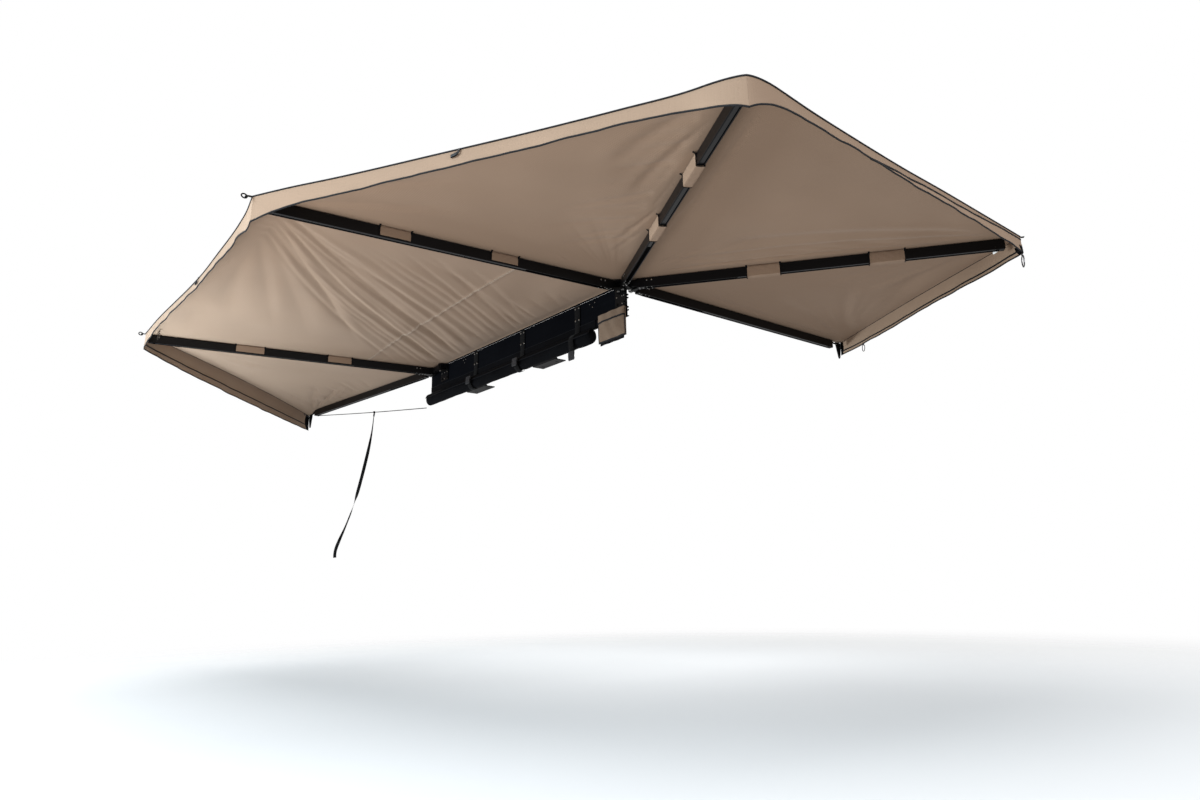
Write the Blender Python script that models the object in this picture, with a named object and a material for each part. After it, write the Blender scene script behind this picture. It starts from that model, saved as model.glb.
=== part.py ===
# Wrap-around side awning: a backing rail with two hub brackets, six folding
# arms with telescopic legs, five canopy panels with skirts, the rolled-up
# travel cover with its straps, a storage pocket and the guy rope.
#
# Everything is laid out in hub coordinates (metres): origin at the rear hub
# centre, X forward along the rail to the front hub, Y outboard, Z up.  The
# finished part is moved so that its origin is the centre of the underside of
# the rear rack bracket's foot.
import bpy
import bmesh
import math
from mathutils import Vector, geometry

# ------------------------------------------------------------------ constants
E_PITCH = 0.038            # side-by-side spacing of the folded arms
SEG = 30                   # facets of running-fit pins and holes
PIN_R = 0.0050
HOLE_R = 0.00506
Z_UP = Vector((0.0, 0.0, 1.0))

AZ = {"d": 87.3, "c": 152.8, "b": 217.8, "a": 272.7, "e": 83.5, "f": 5.7}
P_D = Vector((0.032, 0.023, 0.0))
FOOT_E = Vector((2.235, 0.0, 0.0))
CRANK = 0.158              # how far arm E's beam line lies to the right of its pivot


def u_of(arm):
    a = math.radians(AZ[arm])
    return Vector((math.cos(a), math.sin(a), 0.0))


def v_of(arm):
    a = math.radians(AZ[arm])
    return Vector((-math.sin(a), math.cos(a), 0.0))


PIVOT = {"d": P_D}
PIVOT["c"] = PIVOT["d"] + E_PITCH * v_of("d")
PIVOT["b"] = PIVOT["c"] + E_PITCH * v_of("c")
PIVOT["a"] = PIVOT["b"] + E_PITCH * v_of("b")
PIVOT["e"] = FOOT_E + CRANK * v_of("e")
PIVOT["f"] = FOOT_E - E_PITCH * v_of("e")
# foot of each beam line (equal to the pivot except for the cranked arm)
FOOT = dict(PIVOT)
FOOT["e"] = FOOT_E

# heights
TONGUE = (-0.002, 0.030)
BLOCK = (-0.011, 0.039)
PLATE_TOP = (0.0315, 0.039)
PLATE_BOT = (-0.011, -0.0035)
BEAM_Z = (-0.012, 0.040)
CHAMBER = (0.0165, 0.0375)
GROOVE_TOP = 0.014
CANOPY_Z = (0.0431, 0.0449)
SKIRT_Z = -0.145

# lengths along an arm
U_BLOCK = (0.045, 0.085)
U_BEAM = (0.0853, 1.845)
U_CAP = (1.8440, 1.870)
U_LEG = 1.825
LEG_Z = 0.001
U_OUTER_END = 0.640
U_FOOT = (0.575, 0.639)
U_INNER_FAR = 1.60

CORNER_R = {"a": 1.985, "b": 1.943, "c": 1.886, "d": 1.888, "e": 1.887, "f": 2.005}
LOOPS = {"b": ((0.625, 0.800), (1.235, 1.410)), "c": ((0.655, 0.830), (1.205, 1.385)),
         "d": ((0.630, 0.785), (1.195, 1.350)), "e": ((0.600, 0.770), (1.180, 1.365))}

RAIL_X = (0.020, 2.290)
RAIL_Y = (-0.038, -0.024)
RAIL_Z = (-0.145, 0.034)
SLOT_Z = (-0.030, -0.100)
BRACKET_X = {"rear": 0.840, "front": 1.665}
BRACKET_HALF = 0.120
BOLT_DX = 0.090
BR_Y = (-0.0433, -0.0383)
FOOT_Y = -0.120
FOOT_Z = (-0.225, -0.219)
ORIGIN = Vector((0.840, 0.5 * (FOOT_Y + BR_Y[1]), FOOT_Z[0]))

STRAP_X = (0.462, 1.045, 1.630)
STRAP_W = 0.050
ROLL_C = (-0.005, -0.1925)
ROLL_AB = (0.031, 0.0425)
ROLL_X = (0.285, 2.300)

# guy rope and tie strap, in hub coordinates
ROPE_TOP = Vector((4.090, 0.176, -0.0165))
ROPE_LOW = Vector((2.318, 0.000, -0.244))
KNOT = 0.435               # share of the rope's length from its low end
STRAP_END = Vector((3.650, 0.135, -1.291))
STRAP_BOW = ((0.0, 0.0), (0.14, 0.063), (0.25, 0.090), (0.36, 0.103), (0.50, 0.109), (0.60, 0.104), (0.70, 0.080),
             (0.78, 0.046), (0.886, -0.014), (0.93, -0.031), (0.965, -0.026), (1.0, 0.0))

for o in list(bpy.data.objects):
    bpy.data.objects.remove(o, do_unlink=True)

COLORS = {
    "arm_black": (0.016, 0.017, 0.019, 1.0), "knuckle_black": (0.020, 0.020, 0.022, 1.0),
    "plastic_black": (0.018, 0.018, 0.018, 1.0), "leg_grey": (0.060, 0.062, 0.065, 1.0),
    "rail_black": (0.014, 0.015, 0.018, 1.0), "bolt_steel": (0.550, 0.550, 0.540, 1.0),
    "canopy_fabric": (0.300, 0.235, 0.175, 1.0), "cover_pvc": (0.014, 0.015, 0.019, 1.0),
    "webbing_black": (0.015, 0.015, 0.016, 1.0), "buckle_grey": (0.330, 0.330, 0.330, 1.0),
    "rope_black": (0.020, 0.020, 0.020, 1.0)}


# -------------------------------------------------------------------- helpers
def material(name, color, metallic, roughness):
    m = bpy.data.materials.new(name)
    m.use_nodes = True
    b = m.node_tree.nodes["Principled BSDF"]
    b.inputs["Base Color"].default_value = color
    b.inputs["Metallic"].default_value = metallic
    b.inputs["Roughness"].default_value = roughness
    return m


MAT = {
    "arm_black": material("arm_black", COLORS["arm_black"], 0.3, 0.45),
    "knuckle_black": material("knuckle_black", COLORS["knuckle_black"], 0.3, 0.55),
    "plastic_black": material("plastic_black", COLORS["plastic_black"], 0.0, 0.60),
    "leg_grey": material("leg_grey", COLORS["leg_grey"], 0.5, 0.40),
    "rail_black": material("rail_black", COLORS["rail_black"], 0.3, 0.50),
    "bolt_steel": material("bolt_steel", COLORS["bolt_steel"], 1.0, 0.35),
    "canopy_fabric": material("canopy_fabric", COLORS["canopy_fabric"], 0.0, 0.90),
    "cover_pvc": material("cover_pvc", COLORS["cover_pvc"], 0.0, 0.45),
    "webbing_black": material("webbing_black", COLORS["webbing_black"], 0.0, 0.85),
    "buckle_grey": material("buckle_grey", COLORS["buckle_grey"], 0.0, 0.50),
    "rope_black": material("rope_black", COLORS["rope_black"], 0.0, 0.80)}


def circle(cx, cy, r, n=24, a0=0.0):
    return [(cx + r * math.cos(a0 + 2 * math.pi * i / n), cy + r * math.sin(a0 + 2 * math.pi * i / n))
            for i in range(n)]


def hull(pts):
    pts = sorted(set((round(a, 9), round(b, 9)) for a, b in pts))

    def half(seq):
        out = []
        for p in seq:
            while len(out) > 1 and ((out[-1][0] - out[-2][0]) * (p[1] - out[-2][1])
                                    - (out[-1][1] - out[-2][1]) * (p[0] - out[-2][0])) <= 1e-12:
                out.pop()
            out.append(p)
        return out[:-1]
    return half(pts) + half(pts[::-1])


def chamfered(x0, x1, y0, y1, c):
    return [(x0 + c, y0), (x1 - c, y0), (x1, y0 + c), (x1, y1 - c), (x1 - c, y1), (x0 + c, y1),
            (x0, y1 - c), (x0, y0 + c)]


def prism(loops, h0, h1, to):
    """Extrude a polygon (first loop) with optional holes (others) from h0 to h1."""
    flat = [Vector((a, b, 0.0)) for loop in loops for a, b in loop]
    verts = [to(p.x, p.y, h0) for p in flat] + [to(p.x, p.y, h1) for p in flat]
    n = len(flat)
    faces = []
    if len(loops) == 1:
        faces.append(tuple(range(n)))
        faces.append(tuple(range(2 * n - 1, n - 1, -1)))
    else:
        tris = geometry.tessellate_polygon([[Vector((a, b, 0.0)) for a, b in loop] for loop in loops])
        for t in tris:
            faces.append((t[0], t[1], t[2]))
            faces.append((t[2] + n, t[1] + n, t[0] + n))
    start = 0
    for loop in loops:
        m = len(loop)
        for i in range(m):
            j = (i + 1) % m
            faces.append((start + i, start + j, start + j + n, start + i + n))
        start += m
    return verts, faces


def rings(levels):
    """Stack of equally long rings of points, closed at both ends."""
    n = len(levels[0])
    verts = [p for ring in levels for p in ring]
    faces = [tuple(range(n)), tuple(range(len(verts) - 1, len(verts) - n - 1, -1))]
    for k in range(len(levels) - 1):
        for i in range(n):
            j = (i + 1) % n
            faces.append((k * n + i, k * n + j, (k + 1) * n + j, (k + 1) * n + i))
    return verts, faces


def hexring(r, n):
    out = []
    side = n // 6
    for k in range(6):
        a0, a1 = math.radians(60 * k), math.radians(60 * (k + 1))
        for i in range(side):
            t = i / side
            out.append((r * (math.cos(a0) * (1 - t) + math.cos(a1) * t),
                        r * (math.sin(a0) * (1 - t) + math.sin(a1) * t)))
    return out


def stack(sections, base, axis_to, n):
    """sections: (height, radius, is_hex) along the axis; axis_to maps (a, b, h)."""
    levels = []
    for h, r, is_hex in sections:
        ring = hexring(r, n) if is_hex else circle(0, 0, r, n)
        levels.append([axis_to(base, a, b, h) for a, b in ring])
    return rings(levels)


def along_z(base, a, b, h):
    return Vector((base[0] + a, base[1] + b, h))


def along_y(base, a, b, h):
    return Vector((base[0] + a, h, base[1] + b))


def mesh_of(name, solids):
    bm = bmesh.new()
    for verts, faces in solids:
        vs = [bm.verts.new(v) for v in verts]
        fs = [bm.faces.new([vs[i] for i in f]) for f in faces]
        bmesh.ops.recalc_face_normals(bm, faces=fs)
    me = bpy.data.meshes.new(name)
    bm.to_mesh(me)
    bm.free()
    return me


def carve(name, base, ops):
    """Exact booleans of one solid with others, returned as a plain solid."""
    root = bpy.data.objects.new(name + "_tmp", mesh_of(name + "_tmp", [base]))
    bpy.context.scene.collection.objects.link(root)
    temps = []
    for k, (solid, op) in enumerate(ops):
        t = bpy.data.objects.new("%s_t%d" % (name, k), mesh_of("%s_t%d" % (name, k), [solid]))
        bpy.context.scene.collection.objects.link(t)
        temps.append(t)
        m = root.modifiers.new("b%d" % k, 'BOOLEAN')
        m.solver = 'EXACT'
        m.operation = op
        m.object = t
    deps = bpy.context.evaluated_depsgraph_get()
    deps.update()
    me = bpy.data.meshes.new_from_object(root.evaluated_get(deps))
    bm = bmesh.new()
    bm.from_mesh(me)
    out = ([v.co.copy() for v in bm.verts], [tuple(v.index for v in f.verts) for f in bm.faces])
    bm.free()
    for t in temps + [root]:
        bpy.data.objects.remove(t, do_unlink=True)
    return out


def box(x, y, z):
    return prism([[(x[0], y[0]), (x[1], y[0]), (x[1], y[1]), (x[0], y[1])]], z[0], z[1],
                 lambda a, b, h: Vector((a, b, h)))


# An arm's pieces are modelled in its own frame (u along the beam, v to its
# left, z up, from the foot of the beam line) and then placed.
def in_plan(a, b, h):
    """Maps (u, v, z)."""
    return Vector((a, b, h))


def in_section(a, b, h):
    """Maps (v, z, u): the beam's cross-section extruded along it."""
    return Vector((h, a, b))


def in_side(a, b, h):
    """Maps (u, z, v): a side view extruded sideways."""
    return Vector((a, h, b))


def placed(arm, solid):
    p, u, v = FOOT[arm], u_of(arm), v_of(arm)
    verts, faces = solid
    return [p + u * c.x + v * c.y + Z_UP * c.z for c in verts], faces


def along_x(a, b, h):
    """Maps (y, z, x)."""
    return Vector((h, a, b))


def ribbon(path, t):
    """Closed 2-D outline of a path with thickness t, for a strap seen from its edge."""
    left, right = [], []
    for i, p in enumerate(path):
        a = path[max(i - 1, 0)]
        b = path[min(i + 1, len(path) - 1)]
        d = Vector((b[0] - a[0], b[1] - a[1]))
        d.normalize()
        n = Vector((-d.y, d.x)) * (0.5 * t)
        left.append((p[0] + n.x, p[1] + n.y))
        right.append((p[0] - n.x, p[1] - n.y))
    return left + right[::-1]


GROUPS = {}


def group(name, parent, at):
    e = bpy.data.objects.new(name, None)
    e.empty_display_size = 0.05
    bpy.context.scene.collection.objects.link(e)
    base = GROUPS[parent].matrix_world.translation if parent else Vector((0.0, 0.0, 0.0))
    e.location = (Vector(at) - ORIGIN) - (base if parent else Vector((0.0, 0.0, 0.0)))
    if parent:
        e.parent = GROUPS[parent]
    bpy.context.view_layer.update()
    GROUPS[name] = e
    return e


def put(name, solids, mat, parent):
    moved = [([v - ORIGIN - GROUPS[parent].matrix_world.translation for v in verts], faces)
             for verts, faces in solids]
    me = mesh_of(name, moved)
    me.materials.append(MAT[mat])
    ob = bpy.data.objects.new(name, me)
    ob.parent = GROUPS[parent]
    bpy.context.scene.collection.objects.link(ob)
    return ob


def cord(name, pts, radius, mat, parent):
    base = ORIGIN + GROUPS[parent].matrix_world.translation
    cu = bpy.data.curves.new(name, 'CURVE')
    cu.dimensions = '3D'
    cu.bevel_depth = radius
    cu.bevel_resolution = 2
    cu.use_fill_caps = True
    sp = cu.splines.new('POLY')
    sp.points.add(len(pts) - 1)
    for q, p in zip(sp.points, pts):
        q.co = (p[0] - base[0], p[1] - base[1], p[2] - base[2], 1.0)
    cu.materials.append(MAT[mat])
    ob = bpy.data.objects.new(name, cu)
    ob.parent = GROUPS[parent]
    bpy.context.scene.collection.objects.link(ob)
    return ob


# --------------------------------------------------------------- group empties
group("fixed_base", None, ORIGIN)
group("arm_d", "fixed_base", PIVOT["d"])
group("arm_c", "arm_d", PIVOT["c"])
group("arm_b", "arm_c", PIVOT["b"])
group("arm_a", "arm_b", PIVOT["a"])
group("arm_e", "fixed_base", PIVOT["e"])
group("arm_f", "arm_e", PIVOT["f"])
for arm in "dcbaef":
    hinge = FOOT[arm] + u_of(arm) * U_LEG + Z_UP * LEG_Z
    group("leg_%s_outer" % arm, "arm_%s" % arm, hinge)
    group("leg_%s_inner" % arm, "leg_%s_outer" % arm, hinge)


# --------------------------------------------------------------- backing rail
def rail_outline():
    pts = [(RAIL_Y[1], RAIL_Z[0]), (RAIL_Y[1], RAIL_Z[1]), (RAIL_Y[0], RAIL_Z[1]),
           (RAIL_Y[0], RAIL_Z[1] - 0.005), (-0.028, RAIL_Z[1] - 0.005)]
    for zc in SLOT_Z:
        pts += [(-0.028, zc + 0.012), (RAIL_Y[0], zc + 0.012), (RAIL_Y[0], zc + 0.0045),
                (-0.035, zc + 0.0045), (-0.035, zc + 0.009), (-0.028, zc + 0.009),
                (-0.028, zc - 0.009), (-0.035, zc - 0.009), (-0.035, zc - 0.0045),
                (RAIL_Y[0], zc - 0.0045), (RAIL_Y[0], zc - 0.012), (-0.028, zc - 0.012)]
    pts += [(-0.028, RAIL_Z[0] + 0.005), (RAIL_Y[0], RAIL_Z[0] + 0.005), (RAIL_Y[0], RAIL_Z[0])]
    return pts


RIVETS = [(x + s * 0.017, z) for x in STRAP_X for s in (-1, 1) for z in (0.016, -0.056)]
FLANGE_BOLTS = [(0.040, -0.064), (0.096, -0.064), (0.096, 0.008),
                (2.044, -0.064), (2.116, -0.064), (2.044, 0.008)]
HUB_X = {"rear": (0.024, 0.112), "front": (2.028, 2.132)}

rail_cuts = [(prism([circle(x, z, 0.0043, 16)], -0.060, -0.010,
                    lambda a, b, h: Vector((a, h, b))), 'DIFFERENCE') for x, z in FLANGE_BOLTS]
put("backing_rail", [carve("rail", prism([rail_outline()], RAIL_X[0], RAIL_X[1], along_x), rail_cuts)],
    "rail_black", "fixed_base")


# --------------------------------------------------------------- hub brackets
def hub_bracket(which, pivot, base_x):
    x0, x1 = HUB_X[which]
    flange = prism([chamfered(x0, x1, -0.080, 0.039, 0.004)], -0.0237, -0.0187,
                   lambda a, b, h: Vector((a, h, b)))
    outline = hull(circle(pivot.x, pivot.y, 0.0155, SEG) + [(base_x[0], -0.0200), (base_x[1], -0.0200)])
    ops = []
    for z0, z1 in (PLATE_TOP, PLATE_BOT):
        ops.append((prism([outline], z0, z1, lambda a, b, h: Vector((a, b, h))), 'UNION'))
    ops.append((prism([circle(pivot.x, pivot.y, HOLE_R, SEG)], -0.05, 0.06,
                      lambda a, b, h: Vector((a, b, h))), 'DIFFERENCE'))
    for x, z in FLANGE_BOLTS:
        if x0 < x < x1:
            ops.append((stack([(-0.0131, 0.0066, True), (-0.0145, 0.0075, True), (-0.0197, 0.0075, True),
                               (-0.0197, 0.0040, False), (-0.0320, 0.0040, False)],
                              (x, z), along_y, 12), 'UNION'))
    return carve("hub_" + which, flange, ops)


put("rear_hub_bracket", [hub_bracket("rear", PIVOT["d"], (0.026, 0.078))], "knuckle_black", "fixed_base")
put("front_hub_bracket", [hub_bracket("front", PIVOT["e"], (2.046, 2.108))], "knuckle_black", "fixed_base")


def pivot_pin(p):
    sec = [(-0.0170, 0.0076, True), (-0.0158, 0.0085, True), (-0.0113, 0.0085, True),
           (-0.0113, PIN_R, False), (0.0393, PIN_R, False), (0.0393, 0.0085, True),
           (0.0423, 0.0085, True)]
    return stack(sec, (p.x, p.y), along_z, SEG)


put("rear_hub_pivot_bolt", [pivot_pin(PIVOT["d"])], "bolt_steel", "fixed_base")
put("front_hub_pivot_bolt", [pivot_pin(PIVOT["e"])], "bolt_steel", "fixed_base")


# -------------------------------------------------------------- rack brackets
def rack_bracket(xc):
    outline = [(BR_Y[1], 0.006), (BR_Y[0], 0.006), (BR_Y[0], FOOT_Z[1] + 0.018), (BR_Y[0] - 0.018, FOOT_Z[1]),
               (FOOT_Y, FOOT_Z[1]), (FOOT_Y, FOOT_Z[0]), (BR_Y[1] - 0.004, FOOT_Z[0]),
               (BR_Y[1], FOOT_Z[0] + 0.004)]
    base = prism([outline], xc - BRACKET_HALF, xc + BRACKET_HALF, along_x)
    ops = []
    for s in (-1, 1):
        ops.append((prism([circle(xc + s * BOLT_DX, SLOT_Z[0], 0.0043, 16)], -0.09, 0.0,
                          lambda a, b, h: Vector((a, h, b))), 'DIFFERENCE'))
        slot = hull(circle(xc + s * 0.075, -0.096, 0.0045, 12) + circle(xc + s * 0.075, -0.080, 0.0045, 12))
        ops.append((prism([slot], -0.3, -0.2, lambda a, b, h: Vector((a, b, h))), 'DIFFERENCE'))
    return carve("rack", base, ops)


put("rack_bracket_rear", [rack_bracket(BRACKET_X["rear"])], "knuckle_black", "fixed_base")
put("rack_bracket_front", [rack_bracket(BRACKET_X["front"])], "knuckle_black", "fixed_base")

for which, xc in BRACKET_X.items():
    for k, s in enumerate((-1, 1)):
        put("%s_bracket_bolt_%d" % (which, k + 1),
            [stack([(-0.0287, 0.0068, True), (-0.0347, 0.0068, True), (-0.0347, 0.0040, False),
                    (-0.0436, 0.0040, False), (-0.0436, 0.0075, True), (-0.0500, 0.0075, True),
                    (-0.0500, 0.0040, False), (-0.0530, 0.0040, False)],
                   (xc + s * BOLT_DX, SLOT_Z[0]), along_y, 12)], "bolt_steel", "fixed_base")


# ------------------------------------------ travel cover, straps and pocket
roll = [(ROLL_C[0] + ROLL_AB[0] * math.cos(2 * math.pi * i / 20) * (1.0 + 0.04 * math.cos(6 * math.pi * i / 20)),
         ROLL_C[1] + ROLL_AB[1] * math.sin(2 * math.pi * i / 20)) for i in range(20)]
put("travel_cover", [prism([roll], ROLL_X[0], ROLL_X[1], along_x)], "cover_pvc", "fixed_base")


def strap_path(low):
    path = [(-0.0222, 0.030), (-0.0222, -0.060), (-0.0222, -0.138)]
    for deg in (82, 60, 35, 10, -15):
        a = math.radians(deg)
        path.append((ROLL_C[0] + (ROLL_AB[0] + 0.0048) * math.cos(a), ROLL_C[1] + (ROLL_AB[1] + 0.0040) * math.sin(a)))
    if low:
        path += [(0.0285, -0.222), (0.0270, -0.246)]
    else:
        for deg in (-40, -65, -90, -110):
            a = math.radians(deg)
            path.append((ROLL_C[0] + (ROLL_AB[0] + 0.0048) * math.cos(a),
                         ROLL_C[1] + (ROLL_AB[1] + 0.0040) * math.sin(a)))
    return path


STRAP_NAMES = ("cover_strap_rear", "cover_strap_middle", "cover_strap_front")
for k, x in enumerate(STRAP_X):
    base = prism([ribbon(strap_path(k == 0), 0.0022)], x - 0.5 * STRAP_W, x + 0.5 * STRAP_W, along_x)
    studs = [(stack([(-0.0188, 0.0022, False), (-0.0194, 0.0040, False), (-0.0218, 0.0046, False),
                     (-0.0218, 0.0019, False), (-0.0231, 0.0019, False)], (rx, rz), along_y, 12), 'UNION')
             for rx, rz in RIVETS if abs(rx - x) < 0.03]
    put(STRAP_NAMES[k], [carve("strap%d" % k, base, studs)], "webbing_black", "fixed_base")

# side-release buckles: two on the front of the roll, one at the end of the
# loose rear strap
BUCKLES = ((STRAP_X[0], 0.027, -0.275), (STRAP_X[1], 0.0395, -0.182), (STRAP_X[2], 0.0395, -0.178))
for name, (x, y, z) in zip(("strap_buckle_rear", "strap_buckle_middle", "strap_buckle_front"), BUCKLES):
    put(name, [prism([chamfered(y - 0.006, y + 0.006, z - 0.028, z + 0.028, 0.003)],
                     x - 0.028, x + 0.028, along_x)], "buckle_grey", "fixed_base")

pocket = prism([[(-0.0235, -0.084), (-0.010, -0.084), (0.0005, -0.090), (0.0035, -0.118), (0.0060, -0.238),
                 (0.0005, -0.248), (-0.0170, -0.248), (-0.0235, -0.238)]], 0.027, 0.262, along_x)
put("storage_pocket", [pocket], "canopy_fabric", "fixed_base")


# ----------------------------------------------------------------------- arms
def beam():
    outer = [(-0.016, BEAM_Z[0]), (-0.012, BEAM_Z[0]), (-0.012, GROOVE_TOP), (0.012, GROOVE_TOP), (0.012, BEAM_Z[0]),
             (0.016, BEAM_Z[0]), (0.016, 0.0370), (0.0133, BEAM_Z[1]), (-0.0133, BEAM_Z[1]), (-0.016, 0.0370)]
    inner = [(-0.0135, CHAMBER[0]), (0.0135, CHAMBER[0]), (0.0135, CHAMBER[1] - 0.0015), (0.0120, CHAMBER[1]),
             (-0.0120, CHAMBER[1]), (-0.0135, CHAMBER[1] - 0.0015)]
    base = prism([outer, inner], U_BEAM[0], U_BEAM[1], in_section)
    hole = prism([circle(U_LEG, LEG_Z, 0.00306, 18)], -0.03, 0.03, in_side)
    sec = in_section
    plug = prism([[(-0.0145, 0.0155), (0.0145, 0.0155), (0.0145, 0.0385), (-0.0145, 0.0385)]],
                 1.820, U_CAP[0] + 0.001, sec)
    cap = rings([[sec(a, b, U_CAP[0]) for a, b in chamfered(-0.0163, 0.0163, -0.0123, 0.0402, 0.0025)],
                 [sec(a, b, U_CAP[1] - 0.004) for a, b in chamfered(-0.0163, 0.0163, -0.0123, 0.0402, 0.0025)],
                 [sec(a, b, U_CAP[1]) for a, b in chamfered(-0.0125, 0.0125, -0.008, 0.036, 0.0030)]])
    return carve("beam", base, [(hole, 'DIFFERENCE'), (plug, 'UNION'), (cap, 'UNION')])


TENON = [(-0.0132, 0.0168), (0.0132, 0.0168), (0.0132, 0.0357), (0.0117, 0.0372), (-0.0117, 0.0372), (-0.0132, 0.0357)]


def knuckle(kind):
    """kind: plain (no fork), fork (pin of the next arm on the left) or crank (arm E)."""
    ops = []
    if kind == "crank":
        pivot = (0.0, CRANK)
        base = prism([[(-0.0150, -0.0155), (0.085, -0.0155), (0.085, 0.0155), (0.020, 0.0155),
                       (0.0150, 0.0300), (-0.0150, 0.0300)]], BLOCK[0], BLOCK[1], in_plan)
        tongue = hull(circle(0.0, CRANK, 0.0145, SEG) + [(-0.0145, 0.025), (0.0145, 0.025)])
    else:
        pivot = (0.0, 0.0)
        base = prism([[(U_BLOCK[0], -0.0155), (U_BLOCK[1], -0.0155), (U_BLOCK[1], 0.0155), (U_BLOCK[0], 0.0155)]],
                     BLOCK[0], BLOCK[1], in_plan)
        tongue = hull(circle(0.0, 0.0, 0.0145, SEG) + [(0.050, -0.0145), (0.050, 0.0145)])
    ops.append((prism([tongue], TONGUE[0], TONGUE[1], in_plan), 'UNION'))
    ops.append((prism([TENON], 0.080, 0.135, in_section), 'UNION'))
    if kind != "plain":
        s = -1.0 if kind == "crank" else 1.0
        outline = hull(circle(0.0, s * E_PITCH, 0.0140, SEG) + [(0.036, s * 0.002), (0.050, s * 0.002),
                                                                (0.050, s * 0.0145)])
        for z0, z1 in (PLATE_TOP, PLATE_BOT):
            ops.append((prism([outline], z0, z1, in_plan), 'UNION'))
        ops.append((prism([circle(0.0, s * E_PITCH, HOLE_R, SEG)], -0.05, 0.06, in_plan), 'DIFFERENCE'))
    ops.append((prism([circle(pivot[0], pivot[1], HOLE_R, SEG)], -0.05, 0.06, in_plan), 'DIFFERENCE'))
    return carve("knuckle_" + kind, base, ops)


def leg_outer():
    sec = in_section
    tube = prism([chamfered(-0.010, 0.010, LEG_Z - 0.010, LEG_Z + 0.010, 0.0015),
                  chamfered(-0.0084, 0.0084, LEG_Z - 0.0084, LEG_Z + 0.0084, 0.0008)], U_OUTER_END, U_LEG - 0.030, sec)
    head = prism([[(U_LEG - 0.0305, LEG_Z - 0.010)] +
                  [(U_LEG + 0.010 * math.cos(math.radians(t)), LEG_Z + 0.010 * math.sin(math.radians(t)))
                   for t in range(-90, 91, 15)] + [(U_LEG - 0.0305, LEG_Z + 0.010)]], -0.010, 0.010, in_side)
    trunnion = prism([circle(U_LEG, LEG_Z, 0.0030, 18)], -0.0158, 0.0158, in_side)
    return carve("outer", tube, [(head, 'UNION'), (trunnion, 'UNION')])


def leg_inner():
    sec = in_section
    tube = prism([chamfered(-0.0080, 0.0080, LEG_Z - 0.0080, LEG_Z + 0.0080, 0.0010),
                  chamfered(-0.0066, 0.0066, LEG_Z - 0.0066, LEG_Z + 0.0066, 0.0006)], U_FOOT[0] + 0.030,
                 U_INNER_FAR, sec)
    foot = rings([[sec(a, b, U_FOOT[0]) for a, b in chamfered(-0.0075, 0.0075, LEG_Z - 0.0075, LEG_Z + 0.0075, 0.003)],
                  [sec(a, b, U_FOOT[0] + 0.004) for a, b in chamfered(-0.0100, 0.0100, LEG_Z - 0.0100,
                                                                      LEG_Z + 0.0100, 0.003)],
                  [sec(a, b, U_FOOT[1]) for a, b in chamfered(-0.0100, 0.0100, LEG_Z - 0.0100,
                                                              LEG_Z + 0.0100, 0.003)]])
    return carve("inner", tube, [(foot, 'UNION')])


def loops(arm):
    """Two fabric loops round the beam, sewn to one tape along its top."""
    sec = in_section
    (a0, a1), (b0, b1) = LOOPS[arm]
    tape = prism([[(-0.0150, 0.0405), (0.0150, 0.0405), (0.0150, 0.0424), (-0.0150, 0.0424)]],
                 a0 + 0.01, b1 - 0.01, sec)
    ops = []
    for u0, u1 in LOOPS[arm]:
        if arm in "bc":
            loops2 = [[(-0.0183, -0.0143), (0.0183, -0.0143), (0.0183, 0.0424), (-0.0183, 0.0424)],
                      [(-0.0165, -0.0125), (0.0165, -0.0125), (0.0165, 0.0405), (-0.0165, 0.0405)]]
        else:
            loops2 = [[(-0.0183, -0.0120), (-0.0165, -0.0120), (-0.0165, 0.0405), (0.0165, 0.0405),
                       (0.0165, -0.0120), (0.0183, -0.0120), (0.0183, 0.0424), (-0.0183, 0.0424)]]
        ops.append((prism(loops2, u0, u1, sec), 'UNION'))
    return carve("loops_" + arm, tape, ops)


NEXT = {"d": "c", "c": "b", "b": "a", "e": "f"}
BEAM = beam()
KNUCKLE = {kind: knuckle(kind) for kind in ("plain", "fork", "crank")}
KIND = {"d": "fork", "c": "fork", "b": "fork", "a": "plain", "e": "crank", "f": "plain"}
OUTER = leg_outer()
INNER = leg_inner()
for arm in "dcbaef":
    body = "arm_%s" % arm
    put(body + "_beam", [placed(arm, BEAM)], "arm_black", body)
    put(body + "_knuckle", [placed(arm, KNUCKLE[KIND[arm]])], "knuckle_black", body)
    if arm in NEXT:
        put(body + "_pivot_bolt", [pivot_pin(PIVOT[NEXT[arm]])], "bolt_steel", body)
    if arm in LOOPS:
        put(body + "_loops", [placed(arm, loops(arm))], "canopy_fabric", body)
    put("leg_%s_outer_tube" % arm, [placed(arm, OUTER)], "leg_grey", "leg_%s_outer" % arm)
    put("leg_%s_inner_tube" % arm, [placed(arm, INNER)], "leg_grey", "leg_%s_inner" % arm)


# --------------------------------------------------------------------- canopy
def corner(arm):
    p = FOOT[arm] + u_of(arm) * CORNER_R[arm]
    return Vector((p.x, p.y))


HUB_R = Vector((0.004, -0.004))
HUB_F = Vector((2.250, -0.004))
GAP = 0.0004               # half of the slit between neighbouring panels


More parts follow.
